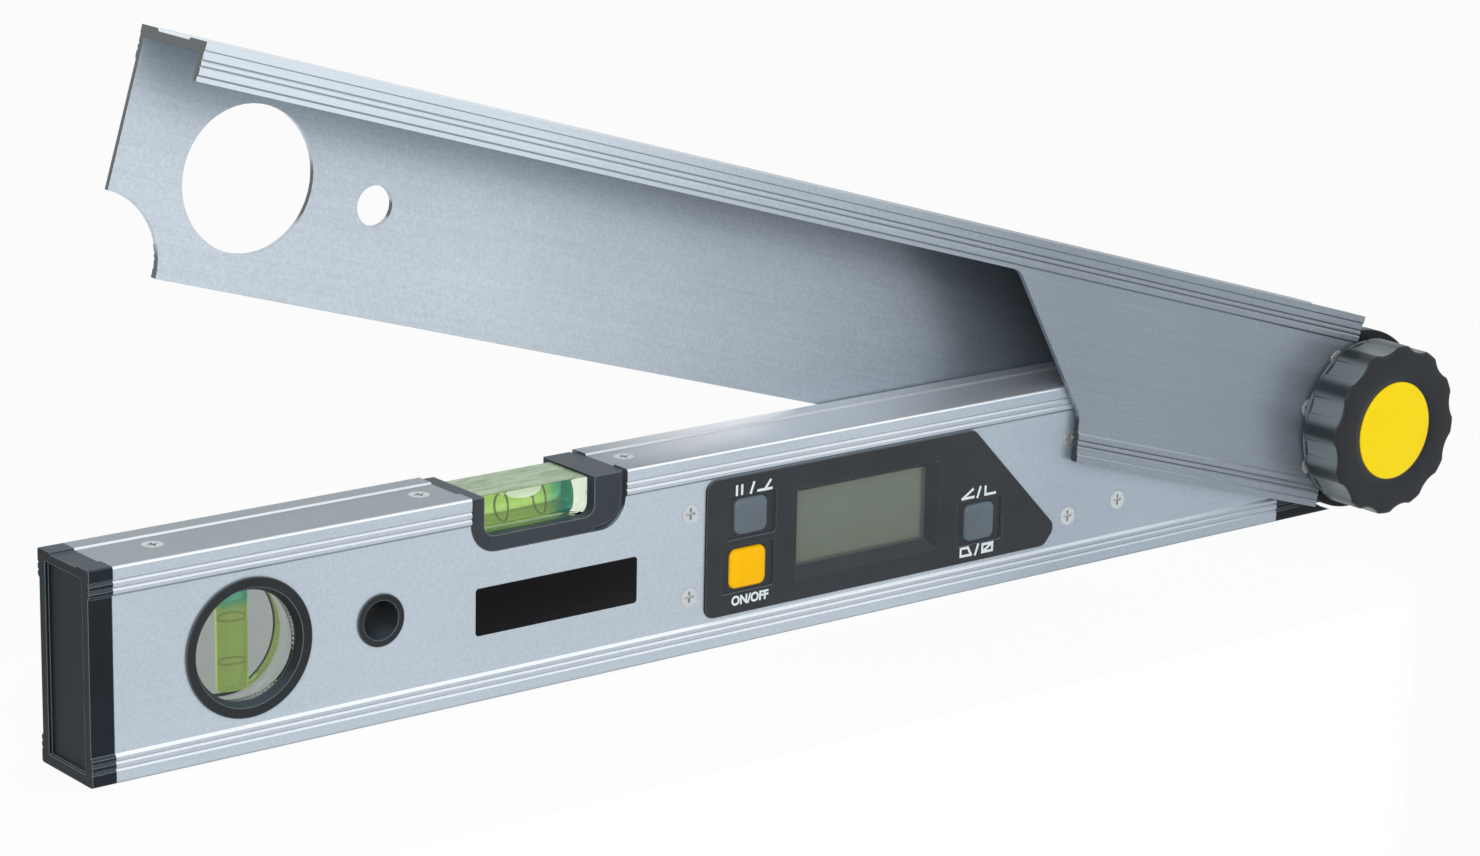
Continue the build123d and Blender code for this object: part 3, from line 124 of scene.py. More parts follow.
def anodised_aluminium(name, light, dark, painted_up_highlight, low, tilt, sawn, shade=None, corner=None,
                       painted_top_shading=None, painted_outer_highlight=None):
    """Extruded aluminium, etched and clear anodised.

    The die leaves fine lines along the length and the etch a satin grain, so highlights
    are soft and drawn out, and the oxide skin scatters much light of its own. The real
    lines are near 0.1 mm apart. They are drawn 0.7 mm apart and 40 mm long, because finer
    ones don't show. Of the groove walls and rounded edges, those that face up get a painted
    highlight and those that face down a painted shade. Tilt turns lines and grooves along
    the arm. Sawn is the dull tone of its cut ends. Shade is painted shade that deepens the
    tone along the length, corner is painted shade in inside corners, the painted top shading
    darkens the top and bottom faces at one end and lightens them at the other, and the
    painted outer highlight lightens the outer face towards the free end.
    """
    material, tree, place = blank(name)
    turn = {"Rotation": (0, radians(-tilt), 0)}
    turned = add(tree, "Mapping", turn, {"Vector": place["Object"]})
    long_ways = add(tree, "Mapping", {"Scale": (1 / LINE_LENGTH, 1 / LINE_GAP, 1 / LINE_GAP)},
                    {"Vector": turned})
    lines = add(tree, "TexNoise", {"Scale": 1.0, "Detail": 3.0, "Roughness": 0.6},
                {"Vector": long_ways})
    grain = add(tree, "TexNoise", {"Scale": 1 / ETCH_GRAIN, "Detail": 2.0, "Roughness": 0.7},
                {"Vector": place["Object"]})
    cloud = add(tree, "TexNoise", {"Scale": 1 / (45 * MM), "Detail": 2.0},
                {"Vector": place["Object"]})
    streak = add(tree, "Math", {"operation": "MULTIPLY_ADD", 1: 0.45}, {0: lines, 2: grain})
    both = add(tree, "Math", {"operation": "MULTIPLY_ADD", 1: 0.35}, {0: cloud, 2: streak})
    level = add(tree, "MapRange", {"From Min": 0.62, "From Max": 1.18}, {"Value": both})
    skin = add(tree, "Mix", {"data_type": "RGBA", FIRST: colour(dark), SECOND: colour(light)},
               {SHARE: level})
    if corner:
        # painted shade: inside corners are darkened for about 20 mm, by ambient occlusion
        open_share = add(tree, "AmbientOcclusion",
                         {"samples": 16, "only_local": True, "Distance": 28 * MM})
        closed = add(tree, "MapRange", {"interpolation_type": "SMOOTHSTEP", "From Min": 0.66,
                                        "From Max": 0.95, "To Min": 1.0, "To Max": 0.0},
                     {"Value": open_share.outputs["AO"]})
        skin = add(tree, "Mix", {"data_type": "RGBA", "blend_type": "MULTIPLY",
                                 SECOND: colour(corner)}, {SHARE: closed, FIRST: skin})
    facing = add(tree, "Mapping", {"vector_type": "NORMAL", **turn}, {"Vector": place["Normal"]})
    parts = add(tree, "SeparateXYZ", None, {"Vector": facing}).outputs
    out = add(tree, "Math", {"operation": "ABSOLUTE"}, {0: parts["Y"]})
    split = add(tree, "SeparateXYZ", None, {"Vector": place["Object"]}).outputs
    # painted highlight: the outer face is lightened towards the free end
    if painted_outer_highlight:
        outer_highlight_tone, start, end, face = painted_outer_highlight
        along = add(tree, "MapRange", {"From Min": start, "From Max": end, "To Min": 0.85,
                                       "To Max": 0.0}, {"Value": split["X"]})
        outer = add(tree, "Math", {"operation": "LESS_THAN", 1: face}, {0: split["Y"]})
        share = add(tree, "Math", {"operation": "MULTIPLY"}, {0: along, 1: outer})
        skin = add(tree, "Mix", {"data_type": "RGBA", SECOND: colour(outer_highlight_tone)},
                   {SHARE: share, FIRST: skin})
    if painted_top_shading:
        # painted shade darkens the top and bottom faces towards the free end, and a painted
        # highlight lightens them towards the pivot, under the arm
        top_shade_tone, kept, start, end = painted_top_shading
        along = add(tree, "MapRange", {"From Min": start, "From Max": end},
                    {"Value": split["X"]})
        cut = add(tree, "Mix", {"data_type": "RGBA", FIRST: colour(top_shade_tone),
                                SECOND: colour(kept)}, {SHARE: along})
        flat = add(tree, "Math", {"operation": "ABSOLUTE"}, {0: parts["Z"]})
        level_face = add(tree, "MapRange", {"From Min": 0.9, "From Max": 0.98}, {"Value": flat})
        skin = add(tree, "Mix", {"data_type": "RGBA"},
                   {SHARE: level_face, FIRST: skin, SECOND: cut})
    # groove walls and rounded edges face neither straight out nor straight up: those that face up
    # get a painted highlight, and those that face down a painted shade
    for way, wall in ((1, painted_up_highlight), (-1, low)):
        rise = add(tree, "Math", {"operation": "MULTIPLY", 1: way}, {0: parts["Z"]})
        least = add(tree, "Math", {"operation": "MINIMUM"}, {0: out, 1: rise})
        lit = add(tree, "MapRange", {"From Min": 0.15, "From Max": 0.5}, {"Value": least})
        skin = add(tree, "Mix", {"data_type": "RGBA", SECOND: colour(wall)},
                   {SHARE: lit, FIRST: skin})
    ends = add(tree, "Math", {"operation": "ABSOLUTE"}, {0: parts["X"]})
    cut_end = add(tree, "MapRange", {"From Min": 0.88, "From Max": 0.96}, {"Value": ends})
    skin = add(tree, "Mix", {"data_type": "RGBA", SECOND: colour(sawn)},
               {SHARE: cut_end, FIRST: skin})
    if shade:
        # painted shade: the tone deepens towards the pivot
        deep, start, end = shade
        along = add(tree, "MapRange", {"From Min": start, "From Max": end},
                    {"Value": split["X"]})
        skin = add(tree, "Mix", {"data_type": "RGBA", "blend_type": "MULTIPLY",
                                 SECOND: colour(deep)}, {SHARE: along, FIRST: skin})
    dullness = add(tree, "MapRange", {"To Min": 0.30, "To Max": 0.44}, {"Value": lines})
    edge = add(tree, "Bevel", {"samples": 4, "Radius": 0.15 * MM})
    relief = add(tree, "Bump", {"Strength": 0.35, "Distance": 0.012 * MM},
                 {"Height": grain, "Normal": edge})
    return finished(material, {"Metallic": 0.58},
                    {"Base Color": skin, "Roughness": dullness, "Normal": relief})


def moulded_abs(name, tone, worn, dull, shine, grit=0.35, depth=0.02, edge=0.25, painted_edge_highlight=None,
                painted_top_sheen=None, flutes=None):
    """Injection-moulded ABS from a spark-eroded mould.

    The mould's fine grit gives an even satin skin. Grit is its grain and depth its
    relief, both in millimetres. Edges are rounded over the width edge, and a painted
    highlight lightens them, on inside corners too. Faces that look up get a painted
    sheen from above. On a fluted grip round the knob's axis, the side gets painted light:
    lighter hollows and darker ridges.
    """
    material, tree, place = blank(name)
    pits = add(tree, "TexNoise", {"Scale": 1 / (grit * MM), "Detail": 2.0, "Roughness": 0.6},
               {"Vector": place["Object"]})
    cloud = add(tree, "TexNoise", {"Scale": 1 / (18 * MM), "Detail": 3.0},
                {"Vector": place["Object"]})
    both = add(tree, "Math", {"operation": "MULTIPLY_ADD", 1: 0.5}, {0: pits, 2: cloud})
    level = add(tree, "MapRange", {"From Min": 0.55, "From Max": 0.95}, {"Value": both})
    skin = add(tree, "Mix", {"data_type": "RGBA", FIRST: colour(tone), SECOND: colour(worn)},
               {SHARE: level})
    dullness = add(tree, "MapRange", {"To Min": dull - 0.06, "To Max": dull + 0.06},
                   {"Value": cloud})
    rounded = add(tree, "Bevel", {"samples": 4, "Radius": edge * MM})
    parts = add(tree, "SeparateXYZ", None, {"Vector": place["Normal"]}).outputs
    # painted sheen from above on faces that look up
    if painted_top_sheen:
        up = add(tree, "MapRange", {"From Min": 0.45, "From Max": 0.97}, {"Value": parts["Z"]})
        skin = add(tree, "Mix", {"data_type": "RGBA", SECOND: colour(painted_top_sheen)},
                   {SHARE: up, FIRST: skin})
    # painted light on the knob's side: its hollows lighter, its ridges darker, all of it lighter
    # than the face
    if flutes:
        hollow, ridge = flutes
        turned = add(tree, "Mapping", {"Rotation": (-pi / 2, 0, 0),
                                       "Location": (-PIVOT_X, -PIVOT_Z, 0)},
                     {"Vector": place["Object"]})
        round_axis = add(tree, "TexGradient", {"gradient_type": "RADIAL"}, {"Vector": turned})
        # whole numbers at the ridges, halves in the hollows
        lobe = add(tree, "Math", {"operation": "MULTIPLY_ADD", 1: LOBES,
                                  2: -LOBES * (0.5 + FIRST_LOBE / tau)},
                   {0: round_axis.outputs["Fac"]})
        swing = add(tree, "Math", {"operation": "PINGPONG", 1: 0.5}, {0: lobe})
        depth_in = add(tree, "MapRange", {"From Min": 0.06, "From Max": 0.30,
                                          "interpolation_type": "SMOOTHSTEP"}, {"Value": swing})
        grip = add(tree, "Mix", {"data_type": "RGBA", FIRST: colour(ridge),
                                 SECOND: colour(hollow)}, {SHARE: depth_in})
        out = add(tree, "Math", {"operation": "ABSOLUTE"}, {0: parts["Y"]})
        painted_side_share = add(tree, "MapRange", {"From Min": 0.5, "From Max": 0.1}, {"Value": out})
        skin = add(tree, "Mix", {"data_type": "RGBA"},
                   {SHARE: painted_side_share, FIRST: skin, SECOND: grip})
    # painted highlight along edges, where the bevel's normal turns from the face's
    if painted_edge_highlight:
        surface = add(tree, "NewGeometry")
        same = add(tree, "VectorMath", {"operation": "DOT_PRODUCT"},
                   {0: rounded, 1: surface.outputs["Normal"]})
        near_edge = add(tree, "MapRange", {"From Min": 0.99, "From Max": 0.92},
                        {"Value": same.outputs["Value"]})
        skin = add(tree, "Mix", {"data_type": "RGBA", SECOND: colour(painted_edge_highlight)},
                   {SHARE: near_edge, FIRST: skin})
    relief = add(tree, "Bump", {"Strength": 0.5, "Distance": depth * MM},
                 {"Height": pits, "Normal": rounded})
    return finished(material, {"IOR": 1.54, "Specular IOR Level": shine},
                    {"Base Color": skin, "Roughness": dullness, "Normal": relief})


def clear_acrylic(name, tone, edge_tone):
    """Polished cast acrylic: water clear with a pale green cast from the dye behind it."""
    material, tree, place = blank(name)
    haze = add(tree, "TexNoise", {"Scale": 1 / (6 * MM), "Detail": 2.0},
               {"Vector": place["Object"]})
    tint = add(tree, "Mix", {"data_type": "RGBA", FIRST: colour(tone),
                             SECOND: colour(edge_tone)}, {SHARE: haze})
    polish = add(tree, "MapRange", {"To Min": 0.0, "To Max": 0.05}, {"Value": haze})
    ripple = add(tree, "Bump", {"Strength": 0.06, "Distance": 0.05 * MM}, {"Height": haze})
    return finished(material, {"IOR": 1.49, "Transmission Weight": 1.0},
                    {"Base Color": tint, "Roughness": polish, "Normal": ripple})


def satin_acrylic(name, light, dark):
    """The vial block's moulded top skin: frosted, pale green, with faint flow marks 3 mm wide."""
    material, tree, place = blank(name)
    stretched = add(tree, "Mapping", {"Scale": (1 / (9 * MM), 1 / (3 * MM), 1 / (3 * MM))},
                    {"Vector": place["Object"]})
    flow = add(tree, "TexNoise", {"Scale": 1.0, "Detail": 4.0, "Roughness": 0.65},
               {"Vector": stretched})
    level = add(tree, "MapRange", {"From Min": 0.38, "From Max": 0.62}, {"Value": flow})
    tint = add(tree, "Mix", {"data_type": "RGBA", FIRST: colour(dark), SECOND: colour(light)},
               {SHARE: level})
    relief = add(tree, "Bump", {"Strength": 0.4, "Distance": 0.05 * MM}, {"Height": flow})
    return finished(material, {"IOR": 1.49, "Transmission Weight": 0.35, "Roughness": 0.25},
                    {"Base Color": tint, "Normal": relief})


def gas_bubble(name, tone, edge_tone):
    """Gas in the vial: a pale, half clear bead. Its glow is painted light, standing in for the
    light its wall mirrors.
    """
    material, tree, place = blank(name)
    film = add(tree, "TexNoise", {"Scale": 1 / (2 * MM), "Detail": 1.0},
               {"Vector": place["Object"]})
    tint = add(tree, "Mix", {"data_type": "RGBA", FIRST: colour(edge_tone),
                             SECOND: colour(tone)}, {SHARE: film})
    return finished(material, {"Alpha": 0.75, "Roughness": 0.08, "Emission Strength": 0.45},
                    {"Base Color": tint, "Emission Color": tint})


def screen_cover(name, tone, low_tone):
    """A thin clear acrylic window with a hard coat: mostly see-through, faintly glossy."""
    material, tree, place = blank(name)
    haze = add(tree, "TexNoise", {"Scale": 1 / (9 * MM), "Detail": 1.0},
               {"Vector": place["Object"]})
    tint = add(tree, "Mix", {"data_type": "RGBA", FIRST: colour(low_tone),
                             SECOND: colour(tone)}, {SHARE: haze})
    polish = add(tree, "MapRange", {"To Min": 0.05, "To Max": 0.12}, {"Value": haze})
    return finished(material, {"IOR": 1.49, "Alpha": 0.15},
                    {"Base Color": tint, "Roughness": polish})


def vial_fluid(name, tone, deep, axis, start, end, glow):
    """Dyed alcohol in a vial: yellow-green, deepening to teal at the end of the tube.

    The dye is fluorescent and glows faintly with its own colour; the glow is also painted
    light, standing in for light that reaches the liquid through the acrylic.
    """
    material, tree, place = blank(name)
    split = add(tree, "SeparateXYZ", None, {"Vector": place["Object"]}).outputs
    swirl = add(tree, "TexNoise", {"Scale": 1 / (4 * MM)}, {"Vector": place["Object"]})
    spread = add(tree, "Math", {"operation": "MULTIPLY_ADD", 1: 2 * MM},
                 {0: swirl, 2: split[axis]})
    along = add(tree, "MapRange", {"From Min": start, "From Max": end,
                                   "interpolation_type": "SMOOTHSTEP"}, {"Value": spread})
    tint = add(tree, "Mix", {"data_type": "RGBA", FIRST: colour(tone), SECOND: colour(deep)},
               {SHARE: along})
    return finished(material, {"IOR": 1.36, "Transmission Weight": 1.0, "Roughness": 0.0,
                               "Emission Strength": glow},
                    {"Base Color": tint, "Emission Color": tint})


def plated(name, light, dark, dull, turn=0.25, metal=1.0):
    """Plated or turned metal: tiny rings and a slight bloom from the bath, in millimetres."""
    material, tree, place = blank(name)
    bloom = add(tree, "TexNoise", {"Scale": 1 / (turn * MM), "Detail": 3.0},
                {"Vector": place["Object"]})
    skin = add(tree, "Mix", {"data_type": "RGBA", FIRST: colour(dark), SECOND: colour(light)},
               {SHARE: bloom})
    dullness = add(tree, "MapRange", {"To Min": dull - 0.08, "To Max": dull + 0.08},
                   {"Value": bloom})
    edge = add(tree, "Bevel", {"samples": 4, "Radius": 0.12 * MM})
    relief = add(tree, "Bump", {"Strength": 0.3, "Distance": 0.01 * MM},
                 {"Height": bloom, "Normal": edge})
    return finished(material, {"Metallic": metal},
                    {"Base Color": skin, "Roughness": dullness, "Normal": relief})


def printed_ink(name, tone, thin):
    """Pad-printed ink: matte and flat, a little thin in places, on a 0.2 mm scale."""
    material, tree, place = blank(name)
    cover = add(tree, "TexNoise", {"Scale": 1 / (0.2 * MM), "Detail": 1.0},
                {"Vector": place["Object"]})
    skin = add(tree, "Mix", {"data_type": "RGBA", FIRST: colour(thin), SECOND: colour(tone)},
               {SHARE: cover})
    return finished(material, {"Roughness": 0.6}, {"Base Color": skin})


def label_film(name, tone, worn):
    """Printed vinyl film: nearly black, smooth, with a faint orange peel of 1.5 mm."""
    material, tree, place = blank(name)
    peel = add(tree, "TexNoise", {"Scale": 1 / (1.5 * MM), "Detail": 1.0},
               {"Vector": place["Object"]})
    skin = add(tree, "Mix", {"data_type": "RGBA", FIRST: colour(tone), SECOND: colour(worn)},
               {SHARE: peel})
    relief = add(tree, "Bump", {"Strength": 0.15, "Distance": 0.02 * MM}, {"Height": peel})
    return finished(material, {"Roughness": 0.42, "Specular IOR Level": 0.08},
                    {"Base Color": skin, "Normal": relief})


def liquid_crystal(name, tone, low_tone):
    """A switched-off display: grey-green polariser with faint lines about 3.8 mm apart.

    It is a little darker towards the foot of the screen.
    """
    material, tree, place = blank(name)
    split = add(tree, "SeparateXYZ", None, {"Vector": place["Object"]}).outputs
    lines = add(tree, "TexWave", {"Scale": 1 / (12 * MM), "Distortion": 0.0,
                                  "bands_direction": "X"}, {"Vector": place["Object"]})
    sheet = add(tree, "TexNoise", {"Scale": 1 / (14 * MM), "Detail": 1.0},
                {"Vector": place["Object"]})
    up = add(tree, "MapRange", {"From Min": 18 * MM, "From Max": 40 * MM}, {"Value": split["Z"]})
    mixed = add(tree, "Math", {"operation": "MULTIPLY_ADD", 1: 0.10},
                {0: lines.outputs["Fac"], 2: up})
    cloudy = add(tree, "Math", {"operation": "MULTIPLY_ADD", 1: 0.35}, {0: sheet, 2: mixed})
    skin = add(tree, "Mix", {"data_type": "RGBA", FIRST: colour(low_tone),
                             SECOND: colour(tone)}, {SHARE: cloudy})
    return finished(material, {"Roughness": 0.35}, {"Base Color": skin})


def board_laminate(name, mask, copper):
    """Glass-epoxy board under green solder mask, with copper runs about 0.8 mm wide."""
    material, tree, place = blank(name)
    runs = add(tree, "TexVoronoi", {"feature": "DISTANCE_TO_EDGE", "Scale": 1 / (4 * MM)},
               {"Vector": place["Object"]})
    level = add(tree, "MapRange", {"From Min": 0.08, "From Max": 0.12},
                {"Value": runs.outputs["Distance"]})
    skin = add(tree, "Mix", {"data_type": "RGBA", FIRST: colour(copper), SECOND: colour(mask)},
               {SHARE: level})
    relief = add(tree, "Bump", {"Strength": 0.4, "Distance": 0.03 * MM, "invert": True},
                 {"Height": level})
    return finished(material, {"Roughness": 0.32}, {"Base Color": skin, "Normal": relief})


# after their tones, the painted shade, painted top shading and painted outer highlight say
# where they start and end along the length, in metres. The outer highlight then has the
# depth that the outer face lies beyond.
BODY_METAL = anodised_aluminium("anodised_aluminium_body", "BFCAD4", "AFBBC5", "F4F8FC", "8F99A2",
                                0, "5C6263", shade=("E3E6EA", 0.045, 0.11),
                                painted_top_shading=("8F9AA1", "EEF3F8", -0.045, 0.005))
ARM_METAL = anodised_aluminium("anodised_aluminium_arm", "C9D4DE", "B4BFC9", "E6EEF5", "8E99A2",
                               16.5, "5C6263", shade=("B8BBBE", -0.08, 0.10), corner="D0D3D6",
                               painted_outer_highlight=("D3DEE7", -0.144, 0.0, -13.5 * MM))
BLACK_ABS = moulded_abs("moulded_abs_black", "11171C", "1A2228", 0.45, 0.11, edge=0.4,
                        painted_edge_highlight="7C868C", painted_top_sheen="46525A")
SADDLE_ABS = moulded_abs("moulded_abs_charcoal", "33393F", "3B4248", 0.45, 0.11, edge=0.4,
                         painted_edge_highlight="8A9499", painted_top_sheen="4C575E")
BEZEL_ABS = moulded_abs("moulded_abs_soft_black", "25292C", "2D3134", 0.45, 0.11, edge=0.4,
                        painted_edge_highlight="7C868C", painted_top_sheen="46525A")
PLATE_ABS = moulded_abs("moulded_abs_face_plate", "151A20", "21272D", 0.5, 0.35,
                        grit=0.6, depth=0.04, painted_edge_highlight="626D75", painted_top_sheen="68757E")
KNOB_ABS = moulded_abs("moulded_abs_knob", "0A1016", "131A21", 0.36, 0.26, edge=0.5,
                       painted_edge_highlight="77828A", flutes=("727C7F", "283034"))
GREY_ABS = moulded_abs("moulded_abs_grey_button", "505D66", "5D6973", 0.40, 0.4)
AMBER_ABS = moulded_abs("moulded_abs_amber_button", "FFBE00", "FFC600", 0.38, 0.1)
YELLOW_ABS = moulded_abs("moulded_abs_yellow_disc", "FFDC0A", "FFE216", 0.34, 0.1,
                         grit=1.2, depth=0.01)
ACRYLIC = clear_acrylic("cast_acrylic_clear", "EEF6E6", "DFEDD2")
DISC_ACRYLIC = clear_acrylic("cast_acrylic_smoky", "9CA3A1", "8E9692")
SATIN_ACRYLIC = satin_acrylic("satin_acrylic_skin", "CDE7BF", "93BB7E")
GAS = gas_bubble("vial_gas", "FFFFFF", "EDF5E4")
LEVEL_FLUID = vial_fluid("vial_fluid_level", "A4BD6E", "2F8C80", "X", -0.0672, -0.0612, 0.26)
PLUMB_FLUID = vial_fluid("vial_fluid_plumb", "A6BC66", "4FA58A", "Z", 0.0365, 0.0400, 0.62)
RING_INK = printed_ink("vial_ring_ink", "060A09", "0B0F0E")
WHITE_INK = printed_ink("pad_printed_white_ink", "E6F0F4", "D4DFE4")
FILM = label_film("label_film_black", "08080B", "0D0D11")
SCREEN = liquid_crystal("liquid_crystal_panel", "727D74", "667065")
SCREEN_COVER = screen_cover("screen_cover_acrylic", "8A9486", "78826F")
BOARD = board_laminate("board_laminate", "0E5A30", "2E8050")
TIN = plated("tinned_contact_metal", "C9CCCC", "AEB2B3", 0.3)
ZINC = plated("zinc_plated_steel", "D6DBDE", "B4BABE", 0.28, metal=0.7)
NICKEL = plated("nickel_plated_steel", "F4F7F9", "DDE2E5", 0.2, metal=0.55)
BRASS = plated("turned_brass", "C9A45A", "A8843F", 0.3, turn=0.5)
SLEEVE = plated("cell_sleeve_lacquer", "5A5E62", "484C50", 0.35, turn=2.0, metal=0.3)
RIBBON = moulded_abs("polyimide_film", "B87820", "C8862A", 0.3, 0.5, grit=1.0)
POLYMER = moulded_abs("natural_acetal_washer", "DAD8D0", "E4E2DA", 0.4, 0.5)

FINISHES = {
    BODY_METAL: ["body_profile"],
    ARM_METAL: ["arm_profile"],
    BLACK_ABS: ["end_cap", "body_hub", "display_housing", "battery_tray", "battery_cover",
                "arm_cheek_near", "arm_cheek_far", "hub_cap_far"],
    SADDLE_ABS: ["level_vial_cradle"],
    BEZEL_ABS: ["plumb_bezel_front", "plumb_bezel_rear", "hang_grommet"],
    PLATE_ABS: ["display_bezel"],
    KNOB_ABS: ["lock_knob"],
    GREY_ABS: ["button_hold", "button_mode"],
    AMBER_ABS: ["button_power"],
    YELLOW_ABS: ["knob_disc"],
    ACRYLIC: ["level_vial_block"],
    DISC_ACRYLIC: ["plumb_vial_block"],
    LEVEL_FLUID: ["level_vial_fluid"],
    PLUMB_FLUID: ["plumb_vial_fluid"],
    RING_INK: ["plumb_vial_rings", "level_vial_rings"],
    SCREEN: ["lcd_panel"],
    SCREEN_COVER: ["lcd_window"],
    BOARD: ["circuit_board", "angle_sensor_stator", "angle_sensor_rotor"],
    TIN: ["tact_switches", "battery_contacts"],
    ZINC: ["battery_cover_screw", "face_screws", "top_screws", "pivot_bush", "pivot_bolt",
           "thrust_washer"],
    NICKEL: ["cheek_screws"],
    BRASS: ["knob_insert"],
    SLEEVE: ["battery_cells"],
    RIBBON: ["sensor_ribbon"],
    POLYMER: ["friction_washers"],
}
for finish, names in FINISHES.items():
    for name in names:
        node = NODES[name]
        node.data.materials.clear()
        node.data.materials.append(finish)


# ---- mesh helpers ---------------------------------------------------------

def skin(rings):
    """A closed shell through rings of points. A ring of one point closes to a tip."""
    points = []
    faces = []
    starts = []
    for ring in rings:
        starts.append(len(points))
        points += ring
    count = max(len(ring) for ring in rings)
    for first, second in zip(range(len(rings)), range(1, len(rings))):
        a, b = starts[first], starts[second]
        for step in range(count):
            turn = (step + 1) % count
            if len(rings[first]) == 1:
                faces.append((a, b + step, b + turn))
            elif len(rings[second]) == 1:
                faces.append((a + step, b, a + turn))
            else:
                faces.append((a + step, b + step, b + turn, a + turn))
    for ring, start in ((rings[0], starts[0]), (rings[-1], starts[-1])):
        if len(ring) > 1:
            faces.append(tuple(range(start, start + count)))
    return points, faces


def make_piece(name, shells, material, body, sharp=35, voids=()):
    """One object from closed shells. A void is a closed shell turned inside out."""
    whole = bmesh.new()
    for inside, group in ((False, shells), (True, voids)):
        for points, faces in group:
            part = bmesh.new()
            corners = [part.verts.new(point) for point in points]
            for face in faces:
                part.faces.new([corners[index] for index in face])
            bmesh.ops.recalc_face_normals(part, faces=part.faces)
            if inside:
                bmesh.ops.reverse_faces(part, faces=part.faces)
            carried = bpy.data.meshes.new("part")
            part.to_mesh(carried)
            part.free()
            whole.from_mesh(carried)
            bpy.data.meshes.remove(carried)
    mesh = bpy.data.meshes.new(name)
    whole.to_mesh(mesh)
    whole.free()
    mesh.materials.append(material)
    mesh.shade_smooth()
    mesh.set_sharp_from_angle(angle=radians(sharp))
    piece = bpy.data.objects.new(name, mesh)
    bpy.context.scene.collection.objects.link(piece)
    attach(piece, body)
    return piece


def arc(x, z, radius, start, y, steps):
    """A quarter of a circle from an angle in degrees, at depth y."""
    angles = [radians(start + 90 * step / steps) for step in range(steps + 1)]
    return [(x + radius * cos(angle), y, z + radius * sin(angle)) for angle in angles]


def round_rectangle(x0, x1, z0, z1, corner, y, steps=7):
    """A ring of points round a rectangle with round corners, at depth y."""
    ring = []
    for x, z, start in ((x1 - corner, z1 - corner, 0), (x0 + corner, z1 - corner, 90),
                        (x0 + corner, z0 + corner, 180), (x1 - corner, z0 + corner, 270)):
        ring += arc(x, z, corner, start, y, steps)
    return ring


def circle(centre, radius, axis, place, count):
    """A ring of points round an axis, at the given place along it."""
    ring = []
    for step in range(count):
        a = radius * cos(tau * step / count)
        b = radius * sin(tau * step / count)
        across = {"X": (place, centre[1] + a, centre[2] + b),
                  "Y": (centre[0] + a, place, centre[2] + b),
                  "Z": (centre[0] + a, centre[1] + b, place)}
        ring.append(across[axis])
    return ring


def tip(centre, axis, place):
    """One point on an axis, as a ring."""
    point = list(centre)
    point["XYZ".index(axis)] = place
    return [tuple(point)]


# ---- the locking knob -----------------------------------------------------

KNOB_FACE, KNOB_BACK = -29.75 * MM, -15.25 * MM
KNOB_RIM = 1.0 * MM
GRIP_END = -17.0 * MM
LOBE_RADIUS = 26.4 * MM
FLUTE_RADIUS = 10 * MM
FLUTE_REACH = 35 * MM
RIDGE = 0.10 * MM
STEPS_PER_LOBE = 28
RIBS = 6
# profiles round the axis, depth and radius in millimetres: the face from the middle of
# the disc's seat to the rim, the back from the collar to the insert's socket, the disc
SEAT_PROFILE = ((-28.85, 15.3), (-29.30, 15.3), (-29.38, 15.45), (-29.66, 17.0), (-29.75, 17.7))
BACK_PROFILE = ((-16.75, 25.5), (-16.5, 25.7), (-15.5, 25.7), (-15.25, 25.4), (-15.25, 22.4),
                (-25.65, 22.4), (-25.65, 8.0), (-15.25, 8.0), (-15.25, 5.45), (-25.3, 5.45))
DISC_PROFILE = ((-28.86, 15.2), (-29.50, 15.2), (-29.60, 15.14), (-29.64, 15.0), (-29.68, 12.0),
                (-29.70, 6.0))


def lobed_radius(angle):
    """The knob's outline: a round one cut by twelve shallow flutes, its ridges eased."""
    turn = (angle - FIRST_LOBE) / tau * LOBES
    off = (turn - round(turn - 0.5) - 0.5) * tau / LOBES
    flute = FLUTE_REACH * cos(off) - sqrt(max(FLUTE_RADIUS ** 2 - (FLUTE_REACH * sin(off)) ** 2, 0))
    gap = LOBE_RADIUS - flute
    return (LOBE_RADIUS + flute - hypot(gap, RIDGE)) / 2


def knob_ring(y, radius=None, inset=0.0):
    """A ring round the knob's axis: round, or along the lobes less an inset."""
    ring = []
    count = LOBES * STEPS_PER_LOBE
    for step in range(count):
        angle = tau * step / count
        reach = radius or lobed_radius(angle) - inset
        ring.append((PIVOT_X + reach * cos(angle), y, PIVOT_Z + reach * sin(angle)))
    return ring


